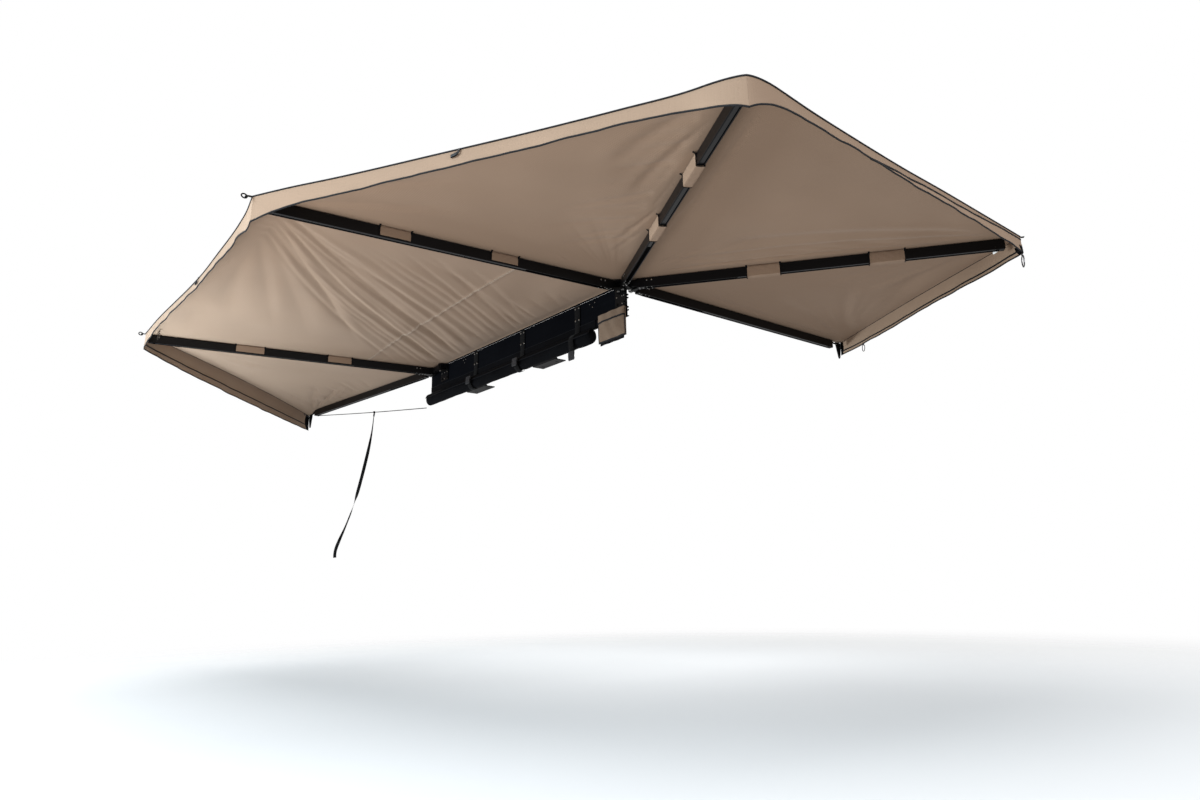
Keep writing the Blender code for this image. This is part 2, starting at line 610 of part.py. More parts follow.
def panel(inner, outer_a, outer_b):
    """Flat panel from the hub points to its outer edge a-b, with a skirt below that edge."""
    poly = [outer_a, outer_b] + inner
    n = len(poly)
    area = sum(poly[i].x * poly[(i + 1) % n].y - poly[(i + 1) % n].x * poly[i].y for i in range(n))
    s = 1.0 if area > 0 else -1.0
    lines = []
    for i in range(n):
        a, b = poly[i], poly[(i + 1) % n]
        d = (b - a).normalized()
        nin = Vector((-d.y, d.x)) * s
        off = 0.0 if i == 0 else GAP
        lines.append((a + nin * off, d))

    def cross(l1, l2):
        (p, d), (q, e) = l1, l2
        det = d.x * e.y - d.y * e.x
        t = ((q.x - p.x) * e.y - (q.y - p.y) * e.x) / det
        return p + d * t
    pts = [cross(lines[i - 1], lines[i]) for i in range(n)]
    d0 = lines[0][1]
    nin0 = Vector((-d0.y, d0.x)) * s
    inset = (lines[0][0] + nin0 * 0.0018, d0)
    pa = cross(lines[-1], inset)
    pb = cross(lines[1], inset)
    t, b, k = CANOPY_Z[1], CANOPY_Z[0], SKIRT_Z

    def v3(p, z):
        return Vector((p.x, p.y, z))
    top = [v3(p, t) for p in pts]
    low = [v3(p, b) for p in pts[2:]]
    extra = [v3(pa, b), v3(pb, b), v3(pa, k), v3(pb, k), v3(pts[0], k), v3(pts[1], k)]
    verts = top + low + extra
    nt, nl = n, n - 2
    iA, iB, iAk, iBk, oAk, oBk = range(nt + nl, nt + nl + 6)
    faces = [tuple(range(n)), tuple([iA, iB] + list(range(nt, nt + nl)))]
    faces.append((0, 1, oBk, oAk))
    faces.append((iA, iB, iBk, iAk))
    faces.append((oAk, oBk, iBk, iAk))
    faces.append((1, 2, nt, iB, iBk, oBk))
    for j in range(2, n - 1):
        faces.append((j, j + 1, nt + j - 1, nt + j - 2))
    faces.append((n - 1, 0, oAk, iAk, iA, nt + nl - 1))
    return verts, faces


put("canopy_panel_de", [panel([HUB_F, HUB_R], corner("d"), corner("e"))], "canopy_fabric", "fixed_base")
put("canopy_panel_cd", [panel([HUB_R], corner("c"), corner("d"))], "canopy_fabric", "arm_c")
put("canopy_panel_bc", [panel([HUB_R], corner("b"), corner("c"))], "canopy_fabric", "arm_b")
put("canopy_panel_ab", [panel([HUB_R], corner("a"), corner("b"))], "canopy_fabric", "arm_a")
put("canopy_panel_ef", [panel([HUB_F], corner("e"), corner("f"))], "canopy_fabric", "arm_f")

# triangular corner fittings at the two ends of the canopy
for arm in "af":
    r = CORNER_R[arm]
    side = 0.006 if arm == "a" else -0.006      # outside the panel's skirt
    tri = [(r - 0.055, 0.0415), (r - 0.002, 0.0415), (r + 0.004, 0.030), (r - 0.012, -0.069), (r - 0.022, -0.069)]
    put("arm_%s_corner_fitting" % arm, [placed(arm, prism([tri], side - 0.004, side + 0.004, in_side))], "plastic_black",
        "arm_%s" % arm)

# ------------------------------------------------- guy rope and tie strap
rope_pts = []
for i in range(33):
    t = i / 32
    p = ROPE_TOP.lerp(ROPE_LOW, t)
    p.z -= 0.010 * math.sin(math.pi * t) * 0.5
    rope_pts.append(p)
cord("guy_rope", rope_pts, 0.0022, "rope_black", "arm_f")
knot = ROPE_TOP.lerp(ROPE_LOW, 1.0 - KNOT)
knot.z -= 0.010
def bow_at(t):
    for (t0, b0), (t1, b1) in zip(STRAP_BOW, STRAP_BOW[1:]):
        if t <= t1:
            k = (t - t0) / (t1 - t0)
            return b0 + (b1 - b0) * k
    return 0.0


strap_dir = (STRAP_END - knot).normalized()
# the strap is flat webbing; its solid is left plain, without the twist
side0 = strap_dir.cross(Vector((0.0, 1.0, 0.0))).normalized()
side1 = strap_dir.cross(side0).normalized()
w = (side0 * math.cos(math.radians(20.0)) + side1 * math.sin(math.radians(20.0))) * 0.0125
h = (side1 * math.cos(math.radians(20.0)) - side0 * math.sin(math.radians(20.0))) * 0.0010
levels = []
for i in range(25):
    t = 0.005 + 0.990 * i / 24
    c = knot.lerp(STRAP_END, t)
    c.x -= bow_at(t)
    levels.append([c + w + h, c - w + h, c - w - h, c + w - h])
put("tie_strap", [rings(levels)], "webbing_black", "arm_f")
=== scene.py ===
# Looks of the wrap-around side awning: canopy panels with their skirts, seams,
# piping and tabs, the fabric loops on the arms, the rolled travel cover with
# its straps and buckles, the pocket, the guy rope and its tie strap, and the
# finish of every metal part.
#
# Shapes are worked out in hub coordinates (metres): origin at the rear hub
# centre, X forward along the rail, Y outboard, Z up; ORIGIN moves them into
# the part's own frame.
import bpy
import bmesh
import math
import numpy as np
from mathutils import Matrix, Vector


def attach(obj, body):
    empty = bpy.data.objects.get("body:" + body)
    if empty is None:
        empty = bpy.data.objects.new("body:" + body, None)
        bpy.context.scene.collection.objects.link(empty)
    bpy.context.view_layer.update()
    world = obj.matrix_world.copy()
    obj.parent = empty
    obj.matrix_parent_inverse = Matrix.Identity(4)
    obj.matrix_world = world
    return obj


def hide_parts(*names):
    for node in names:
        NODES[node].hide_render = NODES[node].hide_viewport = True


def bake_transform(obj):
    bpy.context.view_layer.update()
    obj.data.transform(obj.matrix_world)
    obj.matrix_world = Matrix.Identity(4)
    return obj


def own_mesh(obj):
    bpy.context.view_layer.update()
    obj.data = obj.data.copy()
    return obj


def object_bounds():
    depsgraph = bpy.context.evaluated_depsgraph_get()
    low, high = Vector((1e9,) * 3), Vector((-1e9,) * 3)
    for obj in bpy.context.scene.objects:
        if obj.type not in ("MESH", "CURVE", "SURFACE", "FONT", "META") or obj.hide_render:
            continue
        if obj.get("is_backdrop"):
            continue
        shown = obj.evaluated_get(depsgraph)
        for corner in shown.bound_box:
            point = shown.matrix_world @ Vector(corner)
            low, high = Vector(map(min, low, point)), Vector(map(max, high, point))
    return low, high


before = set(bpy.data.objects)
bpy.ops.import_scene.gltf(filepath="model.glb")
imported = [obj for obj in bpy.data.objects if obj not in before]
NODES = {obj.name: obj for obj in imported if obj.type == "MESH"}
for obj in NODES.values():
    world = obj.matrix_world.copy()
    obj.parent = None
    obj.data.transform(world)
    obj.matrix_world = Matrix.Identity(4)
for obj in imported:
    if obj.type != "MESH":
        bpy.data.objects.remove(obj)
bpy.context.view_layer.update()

ORIGIN = Vector((0.840, -0.07915, -0.225))
UP = Vector((0.0, 0.0, 1.0))

# ------------------------------------------------------------- camera, floor
FLOOR_Z = -1.894
yaw, pitch, roll = math.radians(-38.41), math.radians(12.42), math.radians(1.32)
fwd = Vector((math.cos(pitch) * math.cos(yaw), math.cos(pitch) * math.sin(yaw), math.sin(pitch)))
right0 = Vector((math.sin(yaw), -math.cos(yaw), 0.0))
down0 = fwd.cross(right0)
right = right0 * math.cos(roll) + down0 * math.sin(roll)
down = down0 * math.cos(roll) - right0 * math.sin(roll)
cam_data = bpy.data.cameras.new("view_camera")
cam_data.sensor_width = 36.0
cam_data.lens = 36.0 * 848.0 / 1200.0
cam = bpy.data.objects.new("view_camera", cam_data)
bpy.context.scene.collection.objects.link(cam)
m = Matrix((right, -down, -fwd)).transposed().to_4x4()
m.translation = Vector((-4.148, 2.89415, -1.345))
cam.matrix_world = m
cam_data.clip_start, cam_data.clip_end = 0.05, 200.0
bpy.context.scene.camera = cam


# ------------------------------------------------------------------ materials
def new_mat(name):
    mat = bpy.data.materials.new(name)
    mat.use_nodes = True
    nt = mat.node_tree
    bsdf = nt.nodes["Principled BSDF"]
    return mat, nt, bsdf


def coords(nt, scale=(1.0, 1.0, 1.0), rot=(0.0, 0.0, 0.0)):
    tc = nt.nodes.new("ShaderNodeTexCoord")
    mp = nt.nodes.new("ShaderNodeMapping")
    mp.inputs["Scale"].default_value = scale
    mp.inputs["Rotation"].default_value = rot
    nt.links.new(tc.outputs["Object"], mp.inputs["Vector"])
    return mp.outputs["Vector"]


def noise_tex(nt, vec, scale, detail=3.0, rough=0.55):
    n = nt.nodes.new("ShaderNodeTexNoise")
    n.inputs["Scale"].default_value = scale
    n.inputs["Detail"].default_value = detail
    n.inputs["Roughness"].default_value = rough
    nt.links.new(vec, n.inputs["Vector"])
    return n.outputs["Fac"]


def wave_tex(nt, vec, direction, scale, distort=0.0):
    w = nt.nodes.new("ShaderNodeTexWave")
    w.wave_type = 'BANDS'
    w.bands_direction = direction
    w.inputs["Scale"].default_value = scale
    w.inputs["Distortion"].default_value = distort
    nt.links.new(vec, w.inputs["Vector"])
    return w.outputs["Fac"]


def math_node(nt, op, a, b):
    n = nt.nodes.new("ShaderNodeMath")
    n.operation = op
    for k, v in enumerate((a, b)):
        if isinstance(v, (int, float)):
            n.inputs[k].default_value = v
        else:
            nt.links.new(v, n.inputs[k])
    return n.outputs[0]


def ramp(nt, fac, stops):
    r = nt.nodes.new("ShaderNodeValToRGB")
    cr = r.color_ramp
    while len(cr.elements) < len(stops):
        cr.elements.new(0.5)
    for e, (p, c) in zip(cr.elements, stops):
        e.position = p
        e.color = (*c, 1.0)
    nt.links.new(fac, r.inputs["Fac"])
    return r.outputs["Color"]


def bump(nt, bsdf, height, strength, distance):
    b = nt.nodes.new("ShaderNodeBump")
    b.inputs["Strength"].default_value = strength
    b.inputs["Distance"].default_value = distance
    nt.links.new(height, b.inputs["Height"])
    nt.links.new(b.outputs["Normal"], bsdf.inputs["Normal"])
    return b


def mul(c, k):
    return tuple(min(1.0, x * k) for x in c)


def fabric(name, base, contrast=0.06, rough=0.88, yarn=1.6e-3, strength=0.35, sheen=0.05, mottle=1.4, crumple=0.0):
    """Plain-weave cloth: two crossing sets of yarns, soft mottling and fibre speckle."""
    mat, nt, bsdf = new_mat(name)
    vec = coords(nt)
    big = noise_tex(nt, vec, mottle, 4.0, 0.5)
    fine = noise_tex(nt, vec, 420.0, 2.0, 0.6)
    k = 1.0 / (yarn * 2.0 * math.pi) * math.pi / 10.0
    wx = wave_tex(nt, vec, 'X', k, 0.4)
    wy = wave_tex(nt, vec, 'Y', k, 0.4)
    wz = wave_tex(nt, vec, 'Z', k, 0.4)
    weave = math_node(nt, 'MAXIMUM', math_node(nt, 'MAXIMUM', wx, wy), wz)
    tone = math_node(nt, 'ADD', math_node(nt, 'MULTIPLY', big, 0.72), math_node(nt, 'MULTIPLY', fine, 0.28))
    col = ramp(nt, tone, [(0.30, mul(base, 1.0 - contrast)), (0.70, mul(base, 1.0 + contrast))])
    nt.links.new(col, bsdf.inputs["Base Color"])
    bsdf.inputs["Roughness"].default_value = rough
    bsdf.inputs["Sheen Weight"].default_value = sheen
    bsdf.inputs["Sheen Roughness"].default_value = 0.5
    bsdf.inputs["Specular IOR Level"].default_value = 0.16
    height = math_node(nt, 'ADD', weave, math_node(nt, 'MULTIPLY', fine, 0.5))
    if crumple:
        soft = noise_tex(nt, vec, 16.0, 3.0, 0.5)
        height = math_node(nt, 'ADD', math_node(nt, 'MULTIPLY', height, 0.25), math_node(nt, 'MULTIPLY', soft, crumple))
    bump(nt, bsdf, height, strength, 0.0012 if not crumple else 0.004)
    return mat


def coated(name, base, rough, metallic=0.0, grain=600.0, strength=0.12, contrast=0.25, spec=0.5, dist=0.0004, coat=0.0):
    """Powder coat, anodising or moulded plastic: fine grain with slight wear."""
    mat, nt, bsdf = new_mat(name)
    vec = coords(nt)
    g = noise_tex(nt, vec, grain, 2.0, 0.5)
    big = noise_tex(nt, vec, 5.0, 5.0, 0.6)
    col = ramp(nt, big, [(0.32, mul(base, 1.0 - contrast)), (0.72, mul(base, 1.0 + contrast))])
    nt.links.new(col, bsdf.inputs["Base Color"])
    bsdf.inputs["Metallic"].default_value = metallic
    r = ramp(nt, big, [(0.30, (rough * 0.86,) * 3), (0.74, (min(1.0, rough * 1.16),) * 3)])
    nt.links.new(r, bsdf.inputs["Roughness"])
    bsdf.inputs["Specular IOR Level"].default_value = spec
    if coat:
        bsdf.inputs["Coat Weight"].default_value = coat
        bsdf.inputs["Coat Roughness"].default_value = 0.25
    bump(nt, bsdf, g, strength, dist)
    return mat


def extruded(name, base, rough, axis_rot, spec=0.4):
    """Anodised extrusion: faint die lines along the profile."""
    mat, nt, bsdf = new_mat(name)
    vec = coords(nt, (1.0, 1.0, 1.0), (0.0, 0.0, axis_rot))
    long_vec = coords(nt, (2.0, 260.0, 260.0), (0.0, 0.0, axis_rot))
    lines = noise_tex(nt, long_vec, 1.0, 2.0, 0.5)
    big = noise_tex(nt, vec, 3.0, 4.0, 0.6)
    tone = math_node(nt, 'ADD', math_node(nt, 'MULTIPLY', lines, 0.5), math_node(nt, 'MULTIPLY', big, 0.5))
    col = ramp(nt, tone, [(0.35, mul(base, 0.75)), (0.70, mul(base, 1.35))])
    nt.links.new(col, bsdf.inputs["Base Color"])
    bsdf.inputs["Metallic"].default_value = 0.0
    r = ramp(nt, tone, [(0.35, (rough * 0.85,) * 3), (0.70, (rough * 1.2,) * 3)])
    nt.links.new(r, bsdf.inputs["Roughness"])
    bsdf.inputs["Specular IOR Level"].default_value = spec
    bump(nt, bsdf, lines, 0.06, 0.0004)
    return mat


def webbing(name, base, rough=0.7, rib=2.2e-3):
    """Woven strap: ribs across, yarns along."""
    mat, nt, bsdf = new_mat(name)
    vec = coords(nt)
    k = 0.05 / rib
    wz = wave_tex(nt, vec, 'Z', k, 0.3)
    wd = wave_tex(nt, vec, 'DIAGONAL', k * 1.4, 0.3)
    fine = noise_tex(nt, vec, 500.0, 2.0, 0.6)
    h = math_node(nt, 'MAXIMUM', wz, wd)
    col = ramp(nt, math_node(nt, 'ADD', math_node(nt, 'MULTIPLY', h, 0.5), math_node(nt, 'MULTIPLY', fine, 0.5)),
               [(0.25, mul(base, 0.7)), (0.75, mul(base, 1.4))])
    nt.links.new(col, bsdf.inputs["Base Color"])
    bsdf.inputs["Roughness"].default_value = rough
    bsdf.inputs["Sheen Weight"].default_value = 0.03
    bsdf.inputs["Specular IOR Level"].default_value = 0.15
    bump(nt, bsdf, math_node(nt, 'ADD', h, math_node(nt, 'MULTIPLY', fine, 0.4)), 0.5, 0.0008)
    return mat


TAN = (0.262, 0.181, 0.126)
M_CANOPY = fabric("canopy_cloth", TAN)
M_SKIRT = fabric("skirt_cloth", TAN, crumple=0.6, strength=0.35)
M_LOOP = fabric("loop_cloth", mul(TAN, 1.0), crumple=1.0, strength=0.45)
# the pocket is the canopy's own tan cloth at half brightness: painted shade for the shade it hangs in under the canopy
M_POCKET_SHADED = fabric("pocket_cloth", mul(TAN, 0.50), crumple=1.0, strength=0.5)
M_BIND = webbing("binding_tape", (0.010, 0.010, 0.011), 0.8, 1.4e-3)
M_ZIP = webbing("zip_tape", (0.008, 0.008, 0.009), 0.75, 1.2e-3)
M_WEB = webbing("strap_webbing", (0.0020, 0.0020, 0.0022), 0.85)
M_THREAD = fabric("sewing_thread", (0.44, 0.37, 0.30), 0.05, 0.7, 0.6e-3, 0.3)
M_LABEL = fabric("label_cloth", (0.80, 0.80, 0.78), 0.03, 0.65, 0.8e-3, 0.2)
M_PVC = coated("cover_vinyl", (0.0026, 0.0028, 0.0034), 0.52, 0.0, 160.0, 0.25, 0.25, 0.028, 0.0010)
M_PVC_EDGE = coated("cover_vinyl_welt", (0.006, 0.0064, 0.0076), 0.45, 0.0, 200.0, 0.2, 0.2, 0.06, 0.0006)
M_RAIL = extruded("rail_anodised", (0.0024, 0.0027, 0.0036), 0.46, 0.0, 0.012)
M_KNUCKLE = coated("bracket_powder_coat", (0.0032, 0.0032, 0.0036), 0.42, 0.0, 900.0, 0.22, 0.25, 0.15, 0.0004)
M_PLASTIC = coated("moulded_plastic", (0.006, 0.006, 0.0065), 0.45, 0.0, 1100.0, 0.18, 0.2, 0.25)
M_BUCKLE = coated("buckle_plastic", (0.022, 0.022, 0.024), 0.42, 0.0, 900.0, 0.12, 0.15, 0.25)
M_STEEL = coated("zinc_steel", (0.56, 0.56, 0.55), 0.30, 1.0, 300.0, 0.06, 0.12)
M_WIRE = coated("stainless_wire", (0.15, 0.15, 0.155), 0.22, 1.0, 300.0, 0.05, 0.10)
M_ROPE = webbing("braided_rope", (0.004, 0.004, 0.0045), 0.75, 1.5e-3)

AZ = {"d": 87.3, "c": 152.8, "b": 217.8, "a": 272.7, "e": 83.5, "f": 5.7}
E_PITCH = 0.038
CRANK = 0.158
ARMS = "dcbaef"


def u_of(arm):
    a = math.radians(AZ[arm])
    return Vector((math.cos(a), math.sin(a), 0.0))


def v_of(arm):
    a = math.radians(AZ[arm])
    return Vector((-math.sin(a), math.cos(a), 0.0))


FOOT_E = Vector((2.235, 0.0, 0.0))
PIVOT = {"d": Vector((0.032, 0.023, 0.0))}
PIVOT["c"] = PIVOT["d"] + E_PITCH * v_of("d")
PIVOT["b"] = PIVOT["c"] + E_PITCH * v_of("c")
PIVOT["a"] = PIVOT["b"] + E_PITCH * v_of("b")
PIVOT["e"] = FOOT_E + CRANK * v_of("e")
PIVOT["f"] = FOOT_E - E_PITCH * v_of("e")
FOOT = dict(PIVOT)
FOOT["e"] = FOOT_E

M_ARM = {k: extruded("arm_anodised_" + k, (0.0036, 0.0037, 0.0042), 0.36, -math.radians(AZ[k]), 0.16) for k in ARMS}
M_LEG = {k: extruded("leg_anodised_" + k, (0.0075, 0.0078, 0.0088), 0.30, -math.radians(AZ[k]), 0.35) for k in ARMS}


def set_mats(node, mat):
    o = NODES[node]
    if not o.data.materials:
        o.data.materials.append(mat)
    for s in o.material_slots:
        s.link = 'OBJECT'
        s.material = mat


for k in ARMS:
    set_mats("arm_%s_beam" % k, M_ARM[k])
    set_mats("arm_%s_knuckle" % k, M_KNUCKLE)
    set_mats("leg_%s_outer_tube" % k, M_LEG[k])
    set_mats("leg_%s_inner_tube" % k, M_LEG[k])
    if k in "dcbe":
        set_mats("arm_%s_pivot_bolt" % k, M_STEEL)
set_mats("backing_rail", M_RAIL)
for n in ("rear_hub_bracket", "front_hub_bracket", "rack_bracket_rear", "rack_bracket_front"):
    set_mats(n, M_KNUCKLE)
for n in ("rear_hub_pivot_bolt", "front_hub_pivot_bolt", "rear_bracket_bolt_1", "rear_bracket_bolt_2",
          "front_bracket_bolt_1", "front_bracket_bolt_2"):
    set_mats(n, M_STEEL)


# ------------------------------------------------------------- mesh utilities
def smoothstep(a, b, x):
    t = np.clip((np.asarray(x, float) - a) / (b - a), 0.0, 1.0)
    return t * t * (3.0 - 2.0 * t)


def knots(pairs):
    """Smooth curve through (t, value) pairs."""
    ts = np.array([p[0] for p in pairs], float)
    vs = np.array([p[1] for p in pairs], float)
    sl = np.gradient(vs, ts) if len(ts) > 2 else np.full(len(ts), (vs[-1] - vs[0]) / (ts[-1] - ts[0]))

    def f(t):
        t = np.clip(np.asarray(t, float), ts[0], ts[-1])
        i = np.clip(np.searchsorted(ts, t, side="right") - 1, 0, len(ts) - 2)
        h = ts[i + 1] - ts[i]
        s = (t - ts[i]) / h
        return ((2 * s ** 3 - 3 * s ** 2 + 1) * vs[i] + (s ** 3 - 2 * s ** 2 + s) * h * sl[i]
                + (-2 * s ** 3 + 3 * s ** 2) * vs[i + 1] + (s ** 3 - s ** 2) * h * sl[i + 1])
    return f


def wobble(x, seed, freqs, amp=1.0):
    """Sum of sines with fixed phases: small irregular waves, the same every run."""
    rng = np.random.RandomState(seed)
    out = np.zeros_like(np.asarray(x, float))
    for f in freqs:
        out += np.sin(2 * math.pi * f * np.asarray(x, float) + rng.uniform(0, 2 * math.pi)) / len(freqs)
    return out * amp


def build(name, verts, faces, mats, indices=None, smooth=True, sharp=None):
    """Mesh object from hub coordinates; normals made consistent and outward."""
    me = bpy.data.meshes.new(name)
    me.from_pydata([tuple(Vector(v) - ORIGIN) for v in verts], [], [tuple(f) for f in faces])
    for mt in (mats if isinstance(mats, (list, tuple)) else [mats]):
        me.materials.append(mt)
    if indices is not None:
        me.polygons.foreach_set("material_index", indices)
    bm = bmesh.new()
    bm.from_mesh(me)
    bmesh.ops.recalc_face_normals(bm, faces=bm.faces)
    bm.to_mesh(me)
    bm.free()
    me.polygons.foreach_set("use_smooth", [smooth] * len(me.polygons))
    if smooth and sharp is not None:
        me.set_sharp_from_angle(angle=math.radians(sharp))
    me.update()
    ob = bpy.data.objects.new(name, me)
    bpy.context.scene.collection.objects.link(ob)
    return ob


def join_parts(parts):
    verts, faces = [], []
    for v, f in parts:
        b = len(verts)
        verts += list(v)
        faces += [tuple(i + b for i in q) for q in f]
    return verts, faces


def frames(path, up=None):
    """Tangent, side and normal at each point of a path (parallel transport)."""
    pts = [Vector(p) for p in path]
    n = len(pts)
    out = []
    ref = Vector(up) if up is not None else None
    prev = None
    for i in range(n):
        t = (pts[min(i + 1, n - 1)] - pts[max(i - 1, 0)]).normalized()
        if ref is not None:
            s = t.cross(ref)
            if s.length < 1e-6:
                s = t.orthogonal()
        elif prev is None:
            s = t.orthogonal()
        else:
            s = prev - t * prev.dot(t)
        s.normalize()
        prev = s
        out.append((pts[i], t, s, s.cross(t).normalized()))
    return out


def tube(path, radius, sides=10, closed=False, up=None):
    """Closed tube along a path; radius is a number or one per point."""
    fr = frames(path, up)
    n = len(fr)
    verts, faces = [], []
    for i, (p, t, s, w) in enumerate(fr):
        r = radius[i] if hasattr(radius, "__len__") else radius
        for k in range(sides):
            a = 2 * math.pi * k / sides
            verts.append(p + s * (r * math.cos(a)) + w * (r * math.sin(a)))
    last = n if closed else n - 1
    for i in range(last):
        j = (i + 1) % n
        for k in range(sides):
            l = (k + 1) % sides
            faces.append((i * sides + k, i * sides + l, j * sides + l, j * sides + k))
    if not closed:
        faces.append(tuple(range(sides)))
        faces.append(tuple(range((n - 1) * sides, n * sides))[::-1])
    return verts, faces


def section_sweep(levels):
    """Closed solid through rings of equal length."""
    n = len(levels[0])
    verts = [p for ring in levels for p in ring]
    faces = [tuple(range(n)), tuple(range(len(verts) - n, len(verts)))[::-1]]
    for k in range(len(levels) - 1):
        for i in range(n):
            j = (i + 1) % n
            faces.append((k * n + i, k * n + j, (k + 1) * n + j, (k + 1) * n + i))
    return verts, faces


def band(path, side, width, thick, crown=0.0):
    """Flat strap along a path: side gives its width direction at each point."""
    pts = [Vector(p) for p in path]
    n = len(pts)
    levels = []
    for i, p in enumerate(pts):
        t = (pts[min(i + 1, n - 1)] - pts[max(i - 1, 0)]).normalized()
        s = Vector(side[i] if isinstance(side, list) else side)
        s = (s - t * s.dot(t)).normalized()
        h = t.cross(s).normalized()
        w = (width[i] if hasattr(width, "__len__") else width) * 0.5
        e = thick * 0.5
        levels.append([p + s * w - h * e * 0.4, p + s * w + h * e * 0.4, p + s * (w - e) + h * e,
                       p + h * (e + crown), p - s * (w - e) + h * e, p - s * w + h * e * 0.4,
                       p - s * w - h * e * 0.4, p - s * (w - e) - h * e, p - h * (e - crown), p + s * (w - e) - h * e])
    return section_sweep(levels)


def lathe(profile, base, axis, n=16):
    """Turned solid: profile is (height, radius) along axis."""
    axis = Vector(axis).normalized()
    a = axis.orthogonal().normalized()
    b = axis.cross(a)
    levels = []
    for h, r in profile:
        levels.append([Vector(base) + axis * h + a * (r * math.cos(2 * math.pi * k / n))
                       + b * (r * math.sin(2 * math.pi * k / n)) for k in range(n)])
    return section_sweep(levels)


def slab(center, ax, ay, az, size, bevel):
    """Box with rounded edges, oriented by three axes."""
    ax, ay, az = Vector(ax).normalized(), Vector(ay).normalized(), Vector(az).normalized()
    bm = bmesh.new()
    bmesh.ops.create_cube(bm, size=1.0)
    for v in bm.verts:
        v.co = Vector((v.co.x * size[0], v.co.y * size[1], v.co.z * size[2]))
    bmesh.ops.bevel(bm, geom=bm.edges[:], offset=bevel, segments=2, profile=0.6, affect='EDGES')
    bm.verts.index_update()
    verts = [Vector(center) + ax * v.co.x + ay * v.co.y + az * v.co.z for v in bm.verts]
    faces = [tuple(v.index for v in f.verts) for f in bm.faces]
    bm.free()
    return verts, faces


# --------------------------------------------------------- cords come first
ROPE_TOP = Vector((4.090, 0.176, -0.0165))
ROPE_LOW = Vector((2.318, 0.000, -0.244))
KNOT = 0.435
STRAP_END = Vector((3.650, 0.135, -1.291))

rope_pts = []
for i in range(33):
    t = i / 32
    p = ROPE_TOP.lerp(ROPE_LOW, t)
    p.z -= 0.010 * math.sin(math.pi * t) * 0.5
    rope_pts.append(p)


def resample(pts, n):
    pts = [Vector(p) for p in pts]
    d = [0.0]
    for a, b in zip(pts, pts[1:]):
        d.append(d[-1] + (b - a).length)
    out = []
    j = 0
    for i in range(n):
        s = d[-1] * i / (n - 1)
        while j < len(pts) - 2 and d[j + 1] < s:
            j += 1
        f = (s - d[j]) / max(d[j + 1] - d[j], 1e-9)
        out.append(pts[j].lerp(pts[j + 1], min(max(f, 0.0), 1.0)))
    return out


fine_rope = resample(rope_pts, 360)
rope_r = [0.0030 * (1.0 + 0.05 * math.sin(i * 2.4)) for i in range(len(fine_rope))]
v, f = tube(fine_rope, rope_r, 10)
rope = build("guy_rope_braid", v, f, M_ROPE)
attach(rope, "arm_f")
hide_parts("guy_rope")

knot_p = ROPE_TOP.lerp(ROPE_LOW, 1.0 - KNOT)
knot_p.z -= 0.010
strap_axis = (STRAP_END - knot_p).normalized()
side0 = strap_axis.cross(Vector((0.0, 1.0, 0.0))).normalized()
side1 = strap_axis.cross(side0).normalized()
turn = knots([(0.0, 8.0), (0.12, 22.0), (0.24, 60.0), (0.36, 92.0), (0.50, 98.0), (0.57, 60.0), (0.62, 8.0), (0.70, 28.0),
              (0.78, 35.0), (0.86, 70.0), (0.92, 100.0), (1.0, 112.0)])
strap_bow = knots([(0.0, 0.0), (0.14, 0.063), (0.25, 0.090), (0.36, 0.103), (0.50, 0.109), (0.60, 0.104), (0.70, 0.080),
                   (0.78, 0.046), (0.886, -0.014), (0.93, -0.031), (0.965, -0.026), (1.0, 0.0)])
strap_pts, strap_side = [], []
for i in range(97):
    t = 0.005 + 0.990 * i / 96
    c = knot_p.lerp(STRAP_END, t)
    c.x -= float(strap_bow(t))
    strap_pts.append(c)
    a = math.radians(20.0 + float(turn(t)))
    # broad faces turn towards the camera where the turn is near 0 or 180
    strap_side.append(side0 * math.cos(a) + side1 * math.sin(a))
v, f = band(strap_pts, strap_side, 0.025, 0.0020)
tie = build("tie_strap_webbing", v, f, M_WEB)
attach(tie, "arm_f")
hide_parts("tie_strap")


# rope hitch where the strap is tied on
def hitch(center, along, r, rope_r_, turns=2.6):
    along = Vector(along).normalized()
    a = along.orthogonal().normalized()
    b = along.cross(a)
    pts = []
    n = int(turns * 18)
    for i in range(n + 1):
        q = 2 * math.pi * turns * i / n
        pts.append(Vector(center) + a * (r * math.cos(q)) + b * (r * math.sin(q)) + along * ((i / n - 0.5) * 2.3 * rope_r_ * turns))
    return tube(pts, rope_r_, 8)


rope_dir = (ROPE_LOW - ROPE_TOP).normalized()
v, f = join_parts([hitch(knot_p + Vector((0, 0, 0.006)), rope_dir, 0.0058, 0.0024, 3.0),
                   band([knot_p + Vector((0, 0, 0.013)), knot_p + Vector((0, 0, 0.006)) + side0 * 0.004,
                         knot_p + Vector((0, 0, -0.006)), strap_pts[2]], side1, 0.012, 0.002)])
knot_ob = build("tie_strap_knot", v, f, M_WEB)
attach(knot_ob, "arm_f")

# whipping where the rope meets arm F; the points in hook_top are worked out but not used
hook_top = [ROPE_TOP + Vector((0.0, 0.0, 0.0)), ROPE_TOP + Vector((0.008, 0.001, 0.004)),
            ROPE_TOP + Vector((0.014, 0.002, 0.010))]
v, f = join_parts([hitch(ROPE_TOP + rope_dir * 0.010, rope_dir, 0.0040, 0.0018, 4.0)])
tie_top = build("guy_rope_whipping", v, f, M_ROPE)
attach(tie_top, "arm_f")

for o in (rope, tie, knot_ob, tie_top):
    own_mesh(o)

# ------------------------------------------------------------------- canopy
HUB_R = Vector((0.004, -0.004, 0.0))
HUB_F = Vector((2.250, -0.004, 0.0))
CORNER_R = {"a": 1.985, "b": 1.943, "c": 1.912, "d": 1.888, "e": 1.887, "f": 2.005}
ROUND = {"c": (0.026, 0.15)}          # how far corner C is rounded off, and over what length
CLOTH = 0.0012
Z0 = 0.0437


